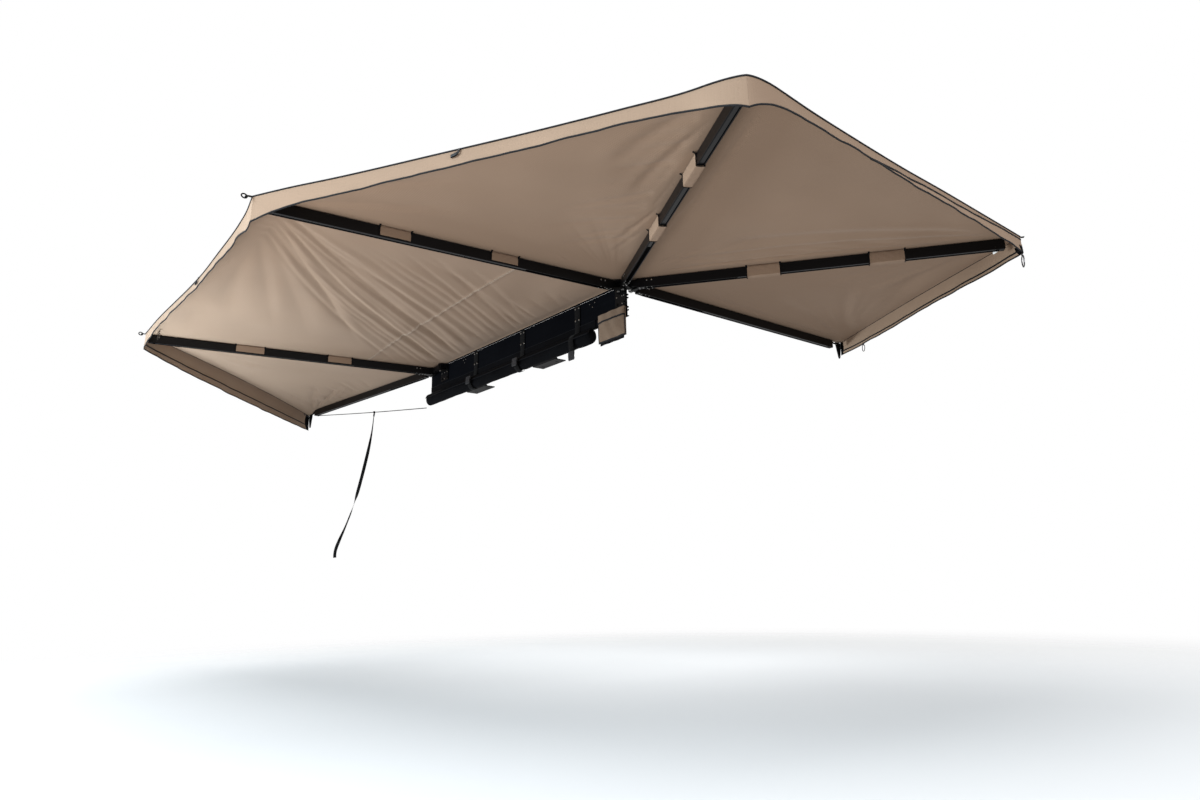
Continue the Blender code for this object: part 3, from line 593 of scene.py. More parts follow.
def corner(k):
    return FOOT[k] + u_of(k) * CORNER_R[k]


# bow: how far the edge is cut in towards the hub; dz: droop of the edge;
# drop: height of the skirt; flare: how far its hem stands out
EDGES = {
    "cd": dict(ends="cd", hub=HUB_R,
               bow=[(0, 0), (0.045, 0.012), (0.10, 0.030), (0.22, 0.036), (0.33, 0.037), (0.57, 0.028), (0.82, 0.014), (0.90, 0.004), (1, 0)],
               dz=[(0, 0), (0.5, -0.002), (1, 0)],
               drop=[(0, 0.118), (0.05, 0.100), (0.10, 0.075), (0.20, 0.063), (0.35, 0.063), (0.55, 0.069), (0.80, 0.077), (0.92, 0.086), (1, 0.114)],
               flare=[(0, 0.004), (0.5, 0.006), (1, 0.004)], zip_at=None, seed=3),
    "bc": dict(ends="bc", hub=HUB_R,
               bow=[(0, 0), (0.19, 0.004), (0.377, 0.009), (0.52, 0.016), (0.69, 0.016), (0.835, 0.012), (0.93, 0.004), (1, 0)],
               dz=[(0, 0), (0.5, 0.0), (1, 0)],
               drop=[(0, 0.082), (0.10, 0.068), (0.30, 0.060), (0.48, 0.052), (0.62, 0.046), (0.78, 0.048), (0.86, 0.058), (0.93, 0.070), (0.965, 0.095), (1, 0.118)],
               flare=[(0, 0.004), (0.5, 0.004), (1, 0.004)], zip_at=[(0.0, 0.17), (0.08, 0.19), (0.20, 0.34), (0.30, 0.44), (0.46, 0.50), (0.56, 0.68), (0.645, 0.985)], seed=5),
    "ab": dict(ends="ab", hub=HUB_R,
               bow=[(0, 0), (0.5, 0.020), (1, 0)],
               dz=[(0, 0), (0.5, -0.004), (1, 0)],
               drop=[(0, 0.088), (0.15, 0.096), (0.5, 0.096), (0.62, 0.090), (0.85, 0.092), (1, 0.084)],
               flare=[(0, 0.0), (0.5, 0.0), (1, 0.004)], zip_at=[(0.0, 0.72), (0.15, 0.77), (0.5, 0.80), (1.0, 0.74)], seed=7),
    "ef": dict(ends="ef", hub=HUB_F,
               bow=[(0, 0), (0.5, 0.018), (1, 0)],
               dz=[(0, 0), (0.4, -0.006), (0.8, -0.020), (1, -0.034)],
               drop=[(0, 0.100), (0.1, 0.118), (0.4, 0.146), (0.75, 0.152), (1, 0.135)],
               flare=[(0, 0.004), (0.5, 0.004), (1, 0.0)], zip_at=[(0.0, 0.68), (0.5, 0.68), (1.0, 0.68)], seed=11),
    "de": dict(ends="de", hub=None,
               bow=[(0, 0), (0.073, 0.021), (0.137, 0.030), (0.318, 0.038), (0.45, 0.041), (0.573, 0.033), (0.68, 0.021), (0.82, 0.006), (1, 0)],
               dz=[(0, 0), (0.5, -0.002), (1, 0)],
               drop=[(0, 0.114), (0.04, 0.112), (0.09, 0.082), (0.2, 0.066), (0.5, 0.052), (0.8, 0.058), (0.95, 0.078), (1, 0.090)],
               flare=[(0, 0.004), (0.5, 0.008), (1, 0.004)], zip_at=None, seed=13),
}


def perp_in(a, b, toward):
    d = (b - a).normalized()
    n = Vector((-d.y, d.x, 0.0))
    return n if n.dot(toward - a) > 0 else -n


class Edge:
    """Outer edge of a panel, from the corner of its first arm to that of its second."""

    def __init__(self, key):
        e = EDGES[key]
        self.key, self.seed = key, e["seed"]
        self.a, self.b = e["ends"]
        self.A, self.B = corner(self.a), corner(self.b)
        self.L = (self.B - self.A).length
        mid = (HUB_R + HUB_F) / 2 if e["hub"] is None else e["hub"]
        self.n_in = perp_in(self.A, self.B, mid)
        self.bow, self.dz, self.drop, self.flare = (knots(e[k]) for k in ("bow", "dz", "drop", "flare"))
        self.zip_at = e["zip_at"]

    def chord(self, t):
        p = self.A.lerp(self.B, t)
        d = (self.B - self.A).normalized()
        for end, base, dist, dd in ((self.a, self.A, t * self.L, d), (self.b, self.B, (1 - t) * self.L, -d)):
            if end in ROUND:
                cut, run = ROUND[end]
                if dist < run:
                    u, v_ = u_of(end), v_of(end)
                    p0 = base - u * cut
                    # control point: where the tangent at p0 (along v) meets the chord
                    s = 1.0 if dd.dot(v_) > 0 else -1.0
                    # p0 + v*s*k = base + dd*m
                    m_ = cut / -dd.dot(u)
                    ctrl = base + dd * m_
                    p2 = base + dd * run
                    q = dist / run
                    p = p0 * (1 - q) ** 2 + ctrl * (2 * q * (1 - q)) + p2 * q * q
        return p

    def at(self, t):
        p = self.chord(t) + self.n_in * float(self.bow(t))
        p.z = Z0 + float(self.dz(t))
        return p

    def out_dir(self, t):
        e = 0.004
        d = (self.at(min(1.0, t + e)) - self.at(max(0.0, t - e)))
        d.z = 0.0
        d.normalize()
        n = Vector((-d.y, d.x, 0.0))
        if n.dot(self.n_in) > 0:
            n = -n
        for end, w in ((self.a, 1 - float(smoothstep(0.0, 0.035, t))), (self.b, 1 - float(smoothstep(0.0, 0.035, 1 - t)))):
            n = n.lerp(u_of(end), w)
        return n.normalized()

    def hem_drop(self, t):
        return float(self.drop(t)) + float(wobble(t * self.L, self.seed, (0.9, 2.1, 3.7), 0.0022)) * float(
            smoothstep(0.0, 0.05, t) * (1 - smoothstep(0.95, 1.0, t)))

    def skirt(self, t, q):
        """Point on the skirt's inner face: q 0 at the fold, 1 at the hem."""
        p = self.at(t)
        n = self.out_dir(t)
        h = self.hem_drop(t)
        fade = float(smoothstep(0.0, 0.04, t) * (1 - smoothstep(0.96, 1.0, t)))
        wave = float(wobble(t * self.L + 0.15 * q, self.seed + 1, (1.7, 3.1, 5.2), 0.0042)) * q * fade
        wave += float(wobble(t * self.L - 0.25 * q, self.seed + 2, (9.0, 13.0), 0.0007)) * q * fade
        out = float(self.flare(t)) * q ** 1.5 + wave
        r = p + n * out
        r.z = p.z - h * q
        return r


EDGE = {k: Edge(k) for k in EDGES}


def spaced(n, a=0.0, b=1.0, ease=0.5):
    """Values from a to b, closer together near both ends."""
    x = np.linspace(0, 1, n)
    y = x - ease * np.sin(2 * math.pi * x) / (2 * math.pi)
    return a + (b - a) * y


def seg_coords(X, Y, p, q):
    """Along (0..1) and signed distance from the line p-q."""
    px, py = p
    dx, dy = q[0] - px, q[1] - py
    L = math.hypot(dx, dy)
    dx, dy = dx / L, dy / L
    s = ((X - px) * dx + (Y - py) * dy) / L
    d = (X - px) * -dy + (Y - py) * dx
    return s, d, L


def folds(X, Y, items):
    """Tension folds: (start, end, width at start, width at end, height, bend)."""
    Z = np.zeros_like(X)
    for (p, q, w0, w1, amp, bend) in items:
        s, d, L = seg_coords(X, Y, p, q)
        d = d - bend * np.sin(math.pi * np.clip(s, 0, 1))
        w = w0 + (w1 - w0) * np.clip(s, 0, 1)
        win = smoothstep(0.0, 0.10, s) * (1 - smoothstep(0.72, 1.0, s))
        ridge = np.exp(-(d / w) ** 2) - 0.55 * np.exp(-((d - 1.7 * w) / (1.1 * w)) ** 2)
        Z += amp * win * ridge
    return Z


def arm_dist(X, Y, k):
    """Distance from the arm's beam line."""
    f, u, v_ = FOOT[k], u_of(k), v_of(k)
    return np.abs((X - f.x) * v_.x + (Y - f.y) * v_.y)


def angle_to(X, Y, foot, az):
    a = np.degrees(np.arctan2(Y - foot.y, X - foot.x)) - az
    return np.abs((a + 180.0) % 360.0 - 180.0)


def w_sector(a, b):
    def w(X, Y):
        ta, tb = angle_to(X, Y, FOOT[a], AZ[a]), angle_to(X, Y, FOOT[b], AZ[b])
        return ta / np.maximum(ta + tb, 1e-6)
    return w


MID_P, MID_Q = (1.127, -0.004), (1.285, 1.892)


def w_de_rear(X, Y):
    th = np.clip(np.degrees(np.arctan2(Y - PIVOT["d"].y, X - PIVOT["d"].x)), 0.0, 87.3) / 87.3
    dm = np.abs(seg_coords(X, Y, MID_P, MID_Q)[1])
    dd = arm_dist(X, Y, "d")
    return np.clip(th * dm / np.maximum(dm + dd, 1e-6), 0, 1)


def w_de_front(X, Y):
    az = np.degrees(np.arctan2(Y - PIVOT["e"].y, X - PIVOT["e"].x))
    ph = np.where(az < -60.0, 0.0, np.clip((180.0 - az) / 96.5, 0.0, 1.0))
    dm = np.abs(seg_coords(X, Y, MID_P, MID_Q)[1])
    de = arm_dist(X, Y, "e")
    return np.clip(ph * dm / np.maximum(dm + de, 1e-6), 0, 1)


WEIGHT = {"cd": ("arm_c", "arm_d", w_sector("c", "d")), "bc": ("arm_b", "arm_c", w_sector("b", "c")),
          "ab": ("arm_a", "arm_b", w_sector("a", "b")), "ef": ("arm_e", "arm_f", w_sector("e", "f")),
          "de_rear": ("fixed_base", "arm_d", w_de_rear), "de_front": ("fixed_base", "arm_e", w_de_front)}


def follow(ob, key):
    """Bakes the piece's transform and works out weights from the angle between the panel's arms; the weights are not
    used, so the piece does not bend with its panel.
    """
    a, b, fn = WEIGHT[key]
    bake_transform(ob)
    co = np.array([v.co for v in ob.data.vertices], float).reshape(-1, 3)
    w = fn(co[:, 0] + ORIGIN.x, co[:, 1] + ORIGIN.y)
    return ob


def shell(name, P, thick, mats, up_hint):
    """Closed cloth of the given thickness from a grid of points (rows x columns x 3)."""
    n, m_, _ = P.shape
    gu = np.gradient(P, axis=0)
    gv = np.gradient(P, axis=1)
    N = np.cross(gu, gv)
    ln = np.linalg.norm(N, axis=2, keepdims=True)
    N = N / np.maximum(ln, 1e-12)
    ref = np.array(up_hint, float)
    if N[n // 3, m_ // 2] @ ref < 0:
        N = -N
    Q = P + N * thick
    verts = [Vector(p) for p in P.reshape(-1, 3)] + [Vector(p) for p in Q.reshape(-1, 3)]
    c = n * m_
    faces = []
    for i in range(n - 1):
        for j in range(m_ - 1):
            a, b, d, e = i * m_ + j, i * m_ + j + 1, (i + 1) * m_ + j + 1, (i + 1) * m_ + j
            faces.append((a, b, d, e))
            faces.append((c + a, c + e, c + d, c + b))
    rim = [(0, j) for j in range(m_)] + [(i, m_ - 1) for i in range(1, n)] + [(n - 1, j) for j in range(m_ - 2, -1, -1)] \
        + [(i, 0) for i in range(n - 2, 0, -1)]
    ids = [i * m_ + j for i, j in rim]
    for a, b in zip(ids, ids[1:] + ids[:1]):
        faces.append((a, c + a, c + b, b))
    return build(name, verts, faces, mats, sharp=62)


# creases that fan out from a corner or a hub, in plan coordinates
CREASES = {
    "cd": [((-1.45, 0.70), (-0.62, 0.42), 0.018, 0.022, 0.007, 0.015), ((-1.55, 0.80), (-0.75, 0.62), 0.016, 0.030, 0.007, 0.02),
           ((-1.25, 0.56), (-0.45, 0.40), 0.014, 0.020, 0.005, -0.01), ((-1.60, 0.87), (-0.90, 0.86), 0.020, 0.045, 0.008, 0.02),
           ((-1.05, 0.48), (-0.30, 0.36), 0.012, 0.020, 0.005, 0.01), ((-0.85, 0.40), (-0.20, 0.30), 0.012, 0.016, 0.004, 0.0),
           ((0.10, 1.80), (-0.30, 1.10), 0.020, 0.050, 0.007, 0.0), ((0.06, 1.84), (-0.55, 1.25), 0.020, 0.045, 0.006, 0.0)],
    "bc": [((-1.48, -1.15), (-0.20, -0.04), 0.020, 0.016, 0.008, 0.03), ((-1.50, -1.10), (-0.30, 0.02), 0.025, 0.020, 0.007, 0.06),
           ((-1.20, -0.86), (-0.12, 0.02), 0.015, 0.014, 0.006, 0.02), ((-1.50, -1.05), (-0.55, 0.00), 0.030, 0.040, 0.006, 0.08),
           ((-1.58, 0.70), (-0.40, 0.15), 0.020, 0.030, 0.005, -0.02)],
    "ab": [((0.02, -1.90), (-0.10, -0.35), 0.018, 0.030, 0.007, -0.02), ((0.00, -1.93), (-0.35, -0.75), 0.018, 0.040, 0.009, -0.03),
           ((-0.03, -1.94), (-0.70, -1.05), 0.020, 0.045, 0.010, -0.03), ((-0.08, -1.93), (-1.10, -1.22), 0.018, 0.040, 0.010, -0.02),
           ((-1.45, -1.18), (-0.60, -1.40), 0.016, 0.040, 0.009, 0.02), ((-1.40, -1.10), (-0.45, -0.95), 0.018, 0.045, 0.006, 0.02)],
    "ef": [((4.12, 0.24), (3.60, 0.62), 0.010, 0.026, 0.009, 0.0), ((4.08, 0.23), (3.40, 0.48), 0.010, 0.028, 0.010, 0.0),
           ((4.02, 0.21), (3.15, 0.34), 0.010, 0.026, 0.010, 0.0), ((3.96, 0.20), (3.20, 0.56), 0.012, 0.030, 0.009, 0.0),
           ((3.75, 0.19), (3.30, 0.52), 0.014, 0.030, 0.008, 0.0), ((3.55, 0.17), (3.20, 0.46), 0.014, 0.028, 0.007, 0.0),
           ((3.30, 0.15), (3.02, 0.42), 0.014, 0.026, 0.006, 0.0), ((4.14, 0.26), (3.85, 0.46), 0.010, 0.018, 0.008, 0.0),
           ((2.60, 1.55), (2.95, 0.95), 0.020, 0.045, 0.007, 0.0), ((2.52, 1.70), (2.80, 1.10), 0.016, 0.030, 0.005, 0.0)],
    "de": [((0.60, 1.78), (1.85, 1.55), 0.030, 0.080, 0.005, 0.000)],
}


def fan(X, Y, apex, a0, a1, n, seed, grow, reach, sharp=1.0, swirl=0.0, tilt=0.5):
    """Pleats that spread from a point: each one a narrow ridge with its own direction, length and height."""
    rng = np.random.RandomState(seed)
    dx, dy = X - apex[0], Y - apex[1]
    rho = np.hypot(dx, dy)
    ang = np.degrees(np.arctan2(dy, dx)) + swirl * rho
    Z = np.zeros_like(X)
    step = (a1 - a0) / n
    for k in range(n):
        a = a0 + step * (k + 0.5 + rng.uniform(-0.32, 0.32))
        amp = rng.uniform(0.45, 1.0) * (1 if rng.uniform() < 0.78 else -0.6)
        wid = step * rng.uniform(0.22, 0.42) * sharp
        r1 = reach * rng.uniform(0.60, 1.05)
        d = (ang - a + 180.0) % 360.0 - 180.0
        lean = np.where(d > 0, wid * (1 + tilt), wid * (1 - tilt))
        ridge = np.exp(-np.abs(d / lean) ** 1.6)
        win = smoothstep(0.02, 0.14, rho) * (1 - smoothstep(0.45 * r1, r1, rho))
        Z += amp * ridge * win * grow * np.minimum(rho, 0.75) / 0.75
    return Z


def strand(X, Y, p0, p1, p2, w, amp, lean, crest=1.5, rise=0.16, fall=0.10):
    """One long tension crease from p0 through p1 to p2; w is its half width at the start, the middle and the end."""
    p0, p1, p2 = (np.array(p, float) for p in (p0, p1, p2))
    l0, l1 = np.hypot(*(p1 - p0)), np.hypot(*(p2 - p1))
    tm = l0 / (l0 + l1)
    ctrl = (p1 - (1 - tm) ** 2 * p0 - tm ** 2 * p2) / (2 * tm * (1 - tm))
    ts = np.linspace(0.0, 1.0, 34)
    C = np.array([p0 * (1 - t) ** 2 + ctrl * (2 * t * (1 - t)) + p2 * t * t for t in ts])
    T = np.gradient(C, axis=0)
    T /= np.linalg.norm(T, axis=1, keepdims=True)
    best = np.full(X.shape, 1e9)
    D = np.zeros_like(X)
    S = np.zeros_like(X)
    step = np.hypot(*(C[1] - C[0]))
    for i in range(len(ts)):
        dx, dy = X - C[i, 0], Y - C[i, 1]
        r = dx * dx + dy * dy
        near = r < best
        best = np.where(near, r, best)
        D = np.where(near, dx * -T[i, 1] + dy * T[i, 0], D)
        S = np.where(near, ts[i] + (dx * T[i, 0] + dy * T[i, 1]) * (ts[1] - ts[0]) / step, S)
    q = np.clip(S, 0, 1)
    wid = np.where(q < tm, w[0] + (w[1] - w[0]) * (q / tm) ** 0.8, w[1] + (w[2] - w[1]) * (q - tm) / (1 - tm))
    wid = np.where(D > 0, wid * (1 + lean), wid * (1 - lean))
    win = smoothstep(0.0, rise, S) * (1 - smoothstep(1.0 - fall, 1.0, S))
    return amp * win * (wid / max(w)) ** 0.5 * (np.exp(-np.abs(D / wid) ** crest)
                                                - 0.30 * np.exp(-((D + 2.1 * wid) / (1.3 * wid)) ** 2))


def de_strands():
    """Creases pulled from corner D and from arm D across the seam to the rail."""
    rng = np.random.RandomState(91)
    out = []
    n = 18
    for k in range(n):
        x = 0.46 + (2.06 - 0.46) * (k + 0.5 + rng.uniform(-0.34, 0.34)) / n
        p1 = (x, 0.585 - 0.045 * x)
        if x > 1.18:
            j = (x - 1.18) / 0.90
            p0 = (0.145 + 0.12 * j, 1.845 + 0.040 * j)
            amp = rng.uniform(0.0026, 0.0062)
            w = (0.0090, rng.uniform(0.016, 0.030), 0.017)
            rise = 0.07
        else:
            p0 = (0.17 + 0.20 * rng.uniform(), 0.58 + (x - 0.2) * rng.uniform(1.05, 1.35))
            amp = rng.uniform(0.0018, 0.0042)
            w = (0.012, rng.uniform(0.018, 0.026), 0.015)
            rise = 0.45
        p2 = (x + rng.uniform(0.40, 0.50), -0.030)
        out.append((p0, p1, p2, w, amp, rng.uniform(-0.45, 0.45), rng.uniform(1.5, 2.1), rise, 0.05))
    # the strongest ones, from the corner itself
    out.append(((0.150, 1.845), (1.62, 0.53), (2.05, 0.00), (0.010, 0.030, 0.022), 0.0105, 0.45, 1.30, 0.05, 0.15))
    out.append(((0.150, 1.810), (1.36, 0.56), (1.80, 0.00), (0.010, 0.044, 0.026), 0.0100, -0.35, 1.60, 0.06, 0.15))
    out.append(((0.180, 1.855), (1.22, 1.17), (2.10, 0.58), (0.010, 0.040, 0.034), 0.0110, 0.40, 1.50, 0.05, 0.45))
    out.append(((0.210, 1.870), (1.20, 1.37), (2.16, 0.92), (0.012, 0.070, 0.055), 0.0085, 0.10, 2.00, 0.06, 0.45))
    out.append(((0.250, 1.880), (1.00, 1.60), (1.85, 1.36), (0.014, 0.075, 0.060), 0.0060, 0.00, 2.00, 0.08, 0.45))
    # soft ones in the smooth outer part
    for p1, p2, wid, amp in (((1.32, 1.47), (2.18, 1.16), 0.034, 0.0040), ((1.02, 1.73), (1.95, 1.60), 0.030, 0.0030),
                             ((0.86, 1.45), (1.50, 1.12), 0.026, 0.0034), ((1.45, 1.62), (2.22, 1.45), 0.045, 0.0036)):
        out.append(((0.240, 1.880), p1, p2, (0.012, wid, wid * 1.2), amp, 0.15, 1.8, 0.14, 0.50))
    return out


def comb(X, Y, key_line, n, seed, height, length, lean):
    """Short gathers that start on a line and die away from it."""
    rng = np.random.RandomState(seed)
    (x0, y0), (x1, y1) = key_line
    Z = np.zeros_like(X)
    for k in range(n):
        f = (k + 0.5 + rng.uniform(-0.4, 0.4)) / n
        px, py = x0 + (x1 - x0) * f, y0 + (y1 - y0) * f
        L = length * rng.uniform(0.45, 1.1)
        a = math.radians(lean + rng.uniform(-7.0, 7.0))
        q = (px + L * math.cos(a), py + L * math.sin(a))
        s_, d, _ = seg_coords(X, Y, (px, py), q)
        w = 0.010 + 0.020 * np.clip(s_, 0, 1)
        w = w * rng.uniform(0.8, 1.5)
        win = smoothstep(-0.02, 0.12, s_) * (1 - smoothstep(0.35, 1.0, s_))
        Z += height * rng.uniform(0.3, 1.0) * win * np.exp(-np.abs(d / w) ** 1.6)
    return Z


def ripple(X, Y, key):
    """Small uneven waves over the whole cloth."""
    rng = np.random.RandomState({"cd": 21, "bc": 22, "ab": 23, "ef": 24, "de": 25}[key])
    Z = np.zeros_like(X)
    for k in range(7):
        a = rng.uniform(0, math.pi)
        f = rng.uniform(1.2, 4.2)
        Z += np.sin(2 * math.pi * f * (X * math.cos(a) + Y * math.sin(a)) + rng.uniform(0, 6.28)) / (1.0 + f)
    return Z * 0.0024


DE_STRANDS = de_strands()


def canopy_z(X, Y, key, near_edge):
    """Height of the cloth's underside. near_edge is 1 at the outer edge, 0 away from it."""
    ends = EDGES[key]["ends"]
    d = np.minimum(arm_dist(X, Y, ends[0]), arm_dist(X, Y, ends[1]))
    hub_d = np.hypot(X - (HUB_F.x if key == "ef" else HUB_R.x), Y - HUB_R.y)
    free = smoothstep(0.019, 0.085, d) * smoothstep(0.10, 0.40, hub_d)
    if key == "de":
        free = smoothstep(0.019, 0.075, d) * smoothstep(0.02, 0.16, Y)
        short = smoothstep(-0.002, 0.040, Y) * smoothstep(0.16, 0.30, X) * (1 - smoothstep(2.02, 2.16, X))
        free = np.maximum(free, short * smoothstep(0.019, 0.075, d) * 0.85)
    belly = {"cd": 0.007, "bc": 0.006, "ab": 0.007, "ef": 0.006, "de": 0.013}[key]
    z = folds(X, Y, CREASES[key]) * {"cd": 0.65, "ab": 0.45}.get(key, 1.0) + ripple(X, Y, key)
    if key == "de":
        for item in DE_STRANDS:
            z += strand(X, Y, *item)
        z += comb(X, Y, ((0.42, 0.03), (2.02, 0.03)), 15, 65, 0.0045, 0.42, 122.0)
        z -= 0.003 * np.exp(-((Y - (0.585 - 0.045 * X)) / 0.010) ** 2)
    elif key == "ef":
        z += fan(X, Y, (4.20, 0.255), 170.0, 224.0, 13, 71, 0.0105, 0.95, 1.0, 0.0)
        z += fan(X, Y, (4.20, 0.255), 150.0, 216.0, 17, 79, 0.0075, 0.50, 0.9, 0.0)
        z += comb(X, Y, ((3.05, 0.12), (4.06, 0.20)), 15, 72, 0.0060, 0.40, 138.0)
        z += fan(X, Y, (2.44, 1.86), -82.0, -56.0, 6, 73, 0.006, 1.1, 1.0, 0.0)
    elif key == "ab":
        z += fan(X, Y, (0.06, -1.99), 98.0, 152.0, 14, 74, 0.0050, 1.15, 1.0, 0.0)
        z += fan(X, Y, (-1.50, -1.16), -28.0, 34.0, 9, 75, 0.0050, 1.25, 1.0, 0.0)
    elif key == "bc":
        z += comb(X, Y, ((-0.35, -0.20), (-1.40, -1.00)), 7, 76, 0.006, 0.70, 52.0)
        z += fan(X, Y, (-0.02, 0.02), 176.0, 212.0, 7, 77, 0.0045, 1.0, 1.0, 0.0)
    elif key == "cd":
        z += comb(X, Y, ((-0.45, 0.33), (-1.45, 0.84)), 12, 78, 0.008, 0.50, 38.0)
        z += fan(X, Y, (0.02, 0.05), 100.0, 146.0, 8, 79, 0.0035, 0.9, 1.0, 0.0)
    lift = belly * smoothstep(0.0, 0.45, d)
    if key == "de":
        # flat against the rail: the creases keep their height there, the cloth between them doesn't rise
        lift = lift * smoothstep(0.02, 0.50, Y)
        z -= 0.0035 * (1 - smoothstep(0.05, 0.40, Y))
    z += lift
    z = np.where(z < 0, z * 0.5, z)
    low = -0.012 if key == "de" else 0.0
    return Z0 + np.maximum(z * free * (1 - 0.75 * near_edge), low * free)


def edge_pull(r):
    return smoothstep(0.90, 1.0, r)


SKIRT_ROWS = [0.0, 0.012, 0.035, 0.08, 0.16, 0.27, 0.40, 0.54, 0.68, 0.82, 0.93, 1.0]


def sector_panel(key, nr, nt):
    e = EDGE[key]
    hub = EDGES[key]["hub"]
    ts = spaced(nt, 0, 1, 0.45)
    rs = np.concatenate([[0.004], np.linspace(0.02, 0.93, nr), [0.955, 0.975, 0.990, 0.9975]])
    rim = np.array([list(e.at(t)) for t in ts])
    P = np.zeros((len(rs), nt, 3))
    for i, r in enumerate(rs):
        P[i, :, 0] = hub.x + (rim[:, 0] - hub.x) * r
        P[i, :, 1] = hub.y + (rim[:, 1] - hub.y) * r
    R = np.repeat(rs[:, None], nt, axis=1)
    near = edge_pull(R)
    P[:, :, 2] = canopy_z(P[:, :, 0], P[:, :, 1], key, near)
    dz = rim[:, 2] - Z0
    P[:, :, 2] += near * dz[None, :]
    S = np.zeros((len(SKIRT_ROWS), nt, 3))
    for k, q in enumerate(SKIRT_ROWS):
        for j, t in enumerate(ts):
            p = e.skirt(t, q)
            S[k, j] = (p.x, p.y, p.z - (0.0 if k else 0.0))
    P = np.concatenate([P, S], axis=0)
    ob = shell("canopy_" + key, P, CLOTH, M_CANOPY, (0, 0, 1))
    return ob, ts


def flat_area(ob):
    return sum(p.area for p in ob.data.polygons) / 2.0


PANEL_NODE = {"cd": "canopy_panel_cd", "bc": "canopy_panel_bc", "ab": "canopy_panel_ab", "ef": "canopy_panel_ef"}
canopy = {}
for key in ("cd", "bc", "ab", "ef"):
    ob, ts = sector_panel(key, 100, 140)
    canopy[key] = ob

# the panel between the two hubs: straight at the case, split at its middle into a rear and a front half
NQ = 168


def de_point(s, q):
    """Plan position: s 0 at arm D to 1 at arm E, q 0 at the case to 1 at the outer edge."""
    e = EDGE["de"]
    o = e.at(s)
    low = Vector((HUB_R.x + (HUB_F.x - HUB_R.x) * s, HUB_R.y, 0.0))
    p = low.lerp(Vector((o.x, o.y, 0.0)), q)
    return p


def de_panel(key, s0, s1, n):
    e = EDGE["de"]
    ss = np.linspace(s0, s1, n)
    qs = np.concatenate([np.linspace(0.0, 0.93, NQ), [0.955, 0.975, 0.990, 0.9975]])
    P = np.zeros((len(qs), n, 3))
    for j, s in enumerate(ss):
        o = e.at(s)
        lo = Vector((HUB_R.x + (HUB_F.x - HUB_R.x) * s, HUB_R.y, 0.0))
        P[:, j, 0] = lo.x + (o.x - lo.x) * qs
        P[:, j, 1] = lo.y + (o.y - lo.y) * qs
    R = np.repeat(qs[:, None], n, axis=1)
    near = edge_pull(R)
    P[:, :, 2] = canopy_z(P[:, :, 0], P[:, :, 1], "de", near)
    dz = np.array([e.at(s).z - Z0 for s in ss])
    P[:, :, 2] += near * dz[None, :]
    # strip that runs from the hub line down on to the top of the rail
    K = []
    for y, z in ((-0.0270, 0.0362), (-0.0235, 0.0385), (-0.0185, 0.0418), (-0.0120, 0.0434)):
        row = P[0].copy()
        row[:, 1] = y
        row[:, 2] = z
        K.append(row)
    S = np.zeros((len(SKIRT_ROWS), n, 3))
    for k, q in enumerate(SKIRT_ROWS):
        for j, s in enumerate(ss):
            S[k, j] = tuple(e.skirt(s, q))
    P = np.concatenate([np.array(K), P, S], axis=0)
    return shell("canopy_" + key, P, CLOTH, M_CANOPY, (0, 0, 1))


canopy["de_rear"] = de_panel("de_rear", 0.0, 0.5, 132)
canopy["de_front"] = de_panel("de_front", 0.5, 1.0, 132)

for key, ob in canopy.items():
    a = flat_area(ob)
    e = EDGE[key[:2]]
    if key.startswith("de"):
        w, l = 1.30, 2.05
    else:
        w = e.L + 0.02
        l = 2.0
    follow(ob, key)
    if key in PANEL_NODE:
        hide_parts(PANEL_NODE[key])
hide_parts("canopy_panel_de")


# ------------------------------------------- piping, zip tape and hem binding
def along_edge(key, fn, n=150):
    """Pieces of a line along an edge: one per panel, two for the hub-to-hub panel."""
    if key == "de":
        return [("de_rear", [fn(t) for t in spaced(n // 2, 0.0, 0.5, 0.0)]),
                ("de_front", [fn(t) for t in spaced(n // 2, 0.5, 1.0, 0.0)])]
    return [(key, [fn(t) for t in spaced(n, 0.0, 1.0, 0.45)])]


for key in EDGE:
    e = EDGE[key]

    def top_line(t, e=e):
        p = e.at(t) + e.out_dir(t) * 0.0016
        p.z += 0.0010
        return p

    def hem_line(t, e=e):
        p = e.skirt(t, 1.0)
        p += e.out_dir(t) * 0.0006
        p.z += 0.001
        return p

    for part, pts in along_edge(key, top_line):
        ob = build("top_piping_" + part, *tube(pts, 0.0036, 8), M_BIND)
        follow(ob, part)
    for part, pts in along_edge(key, hem_line):
        n = len(pts)
        lv = []
        for i, p in enumerate(pts):
            t_ = (pts[min(i + 1, n - 1)] - pts[max(i - 1, 0)]).normalized()
            o_ = t_.cross(UP).normalized()
            if o_.dot(-e.n_in) < 0:
                o_ = -o_
            lv.append([p + o_ * 0.0019 + UP * 0.0048, p + o_ * 0.0022 - UP * 0.0010, p - UP * 0.0022,
                       p - o_ * 0.0022 - UP * 0.0010, p - o_ * 0.0019 + UP * 0.0048, p - o_ * 0.0002 + UP * 0.0052])
        ob = build("hem_binding_" + part, *section_sweep(lv), M_BIND)
        follow(ob, part)
    if e.zip_at:
        t0, t1, share = e.zip_at[0][0], e.zip_at[-1][0], knots(e.zip_at)
        for side, lift in (("inner", -1.0), ("outer", 1.0)):
            pts, outs = [], []
            for t in spaced(120, t0, t1, 0.3):
                p = e.skirt(t, float(share(t)))
                o_ = e.out_dir(t)
                pts.append(p + o_ * (CLOTH * (0.5 + 0.5 * lift) + 0.0009 * lift))
                outs.append(UP.copy())
            ob = build("zip_tape_%s_%s" % (side, key), *band(pts, outs, 0.0085, 0.0016), M_ZIP)
            follow(ob, key)

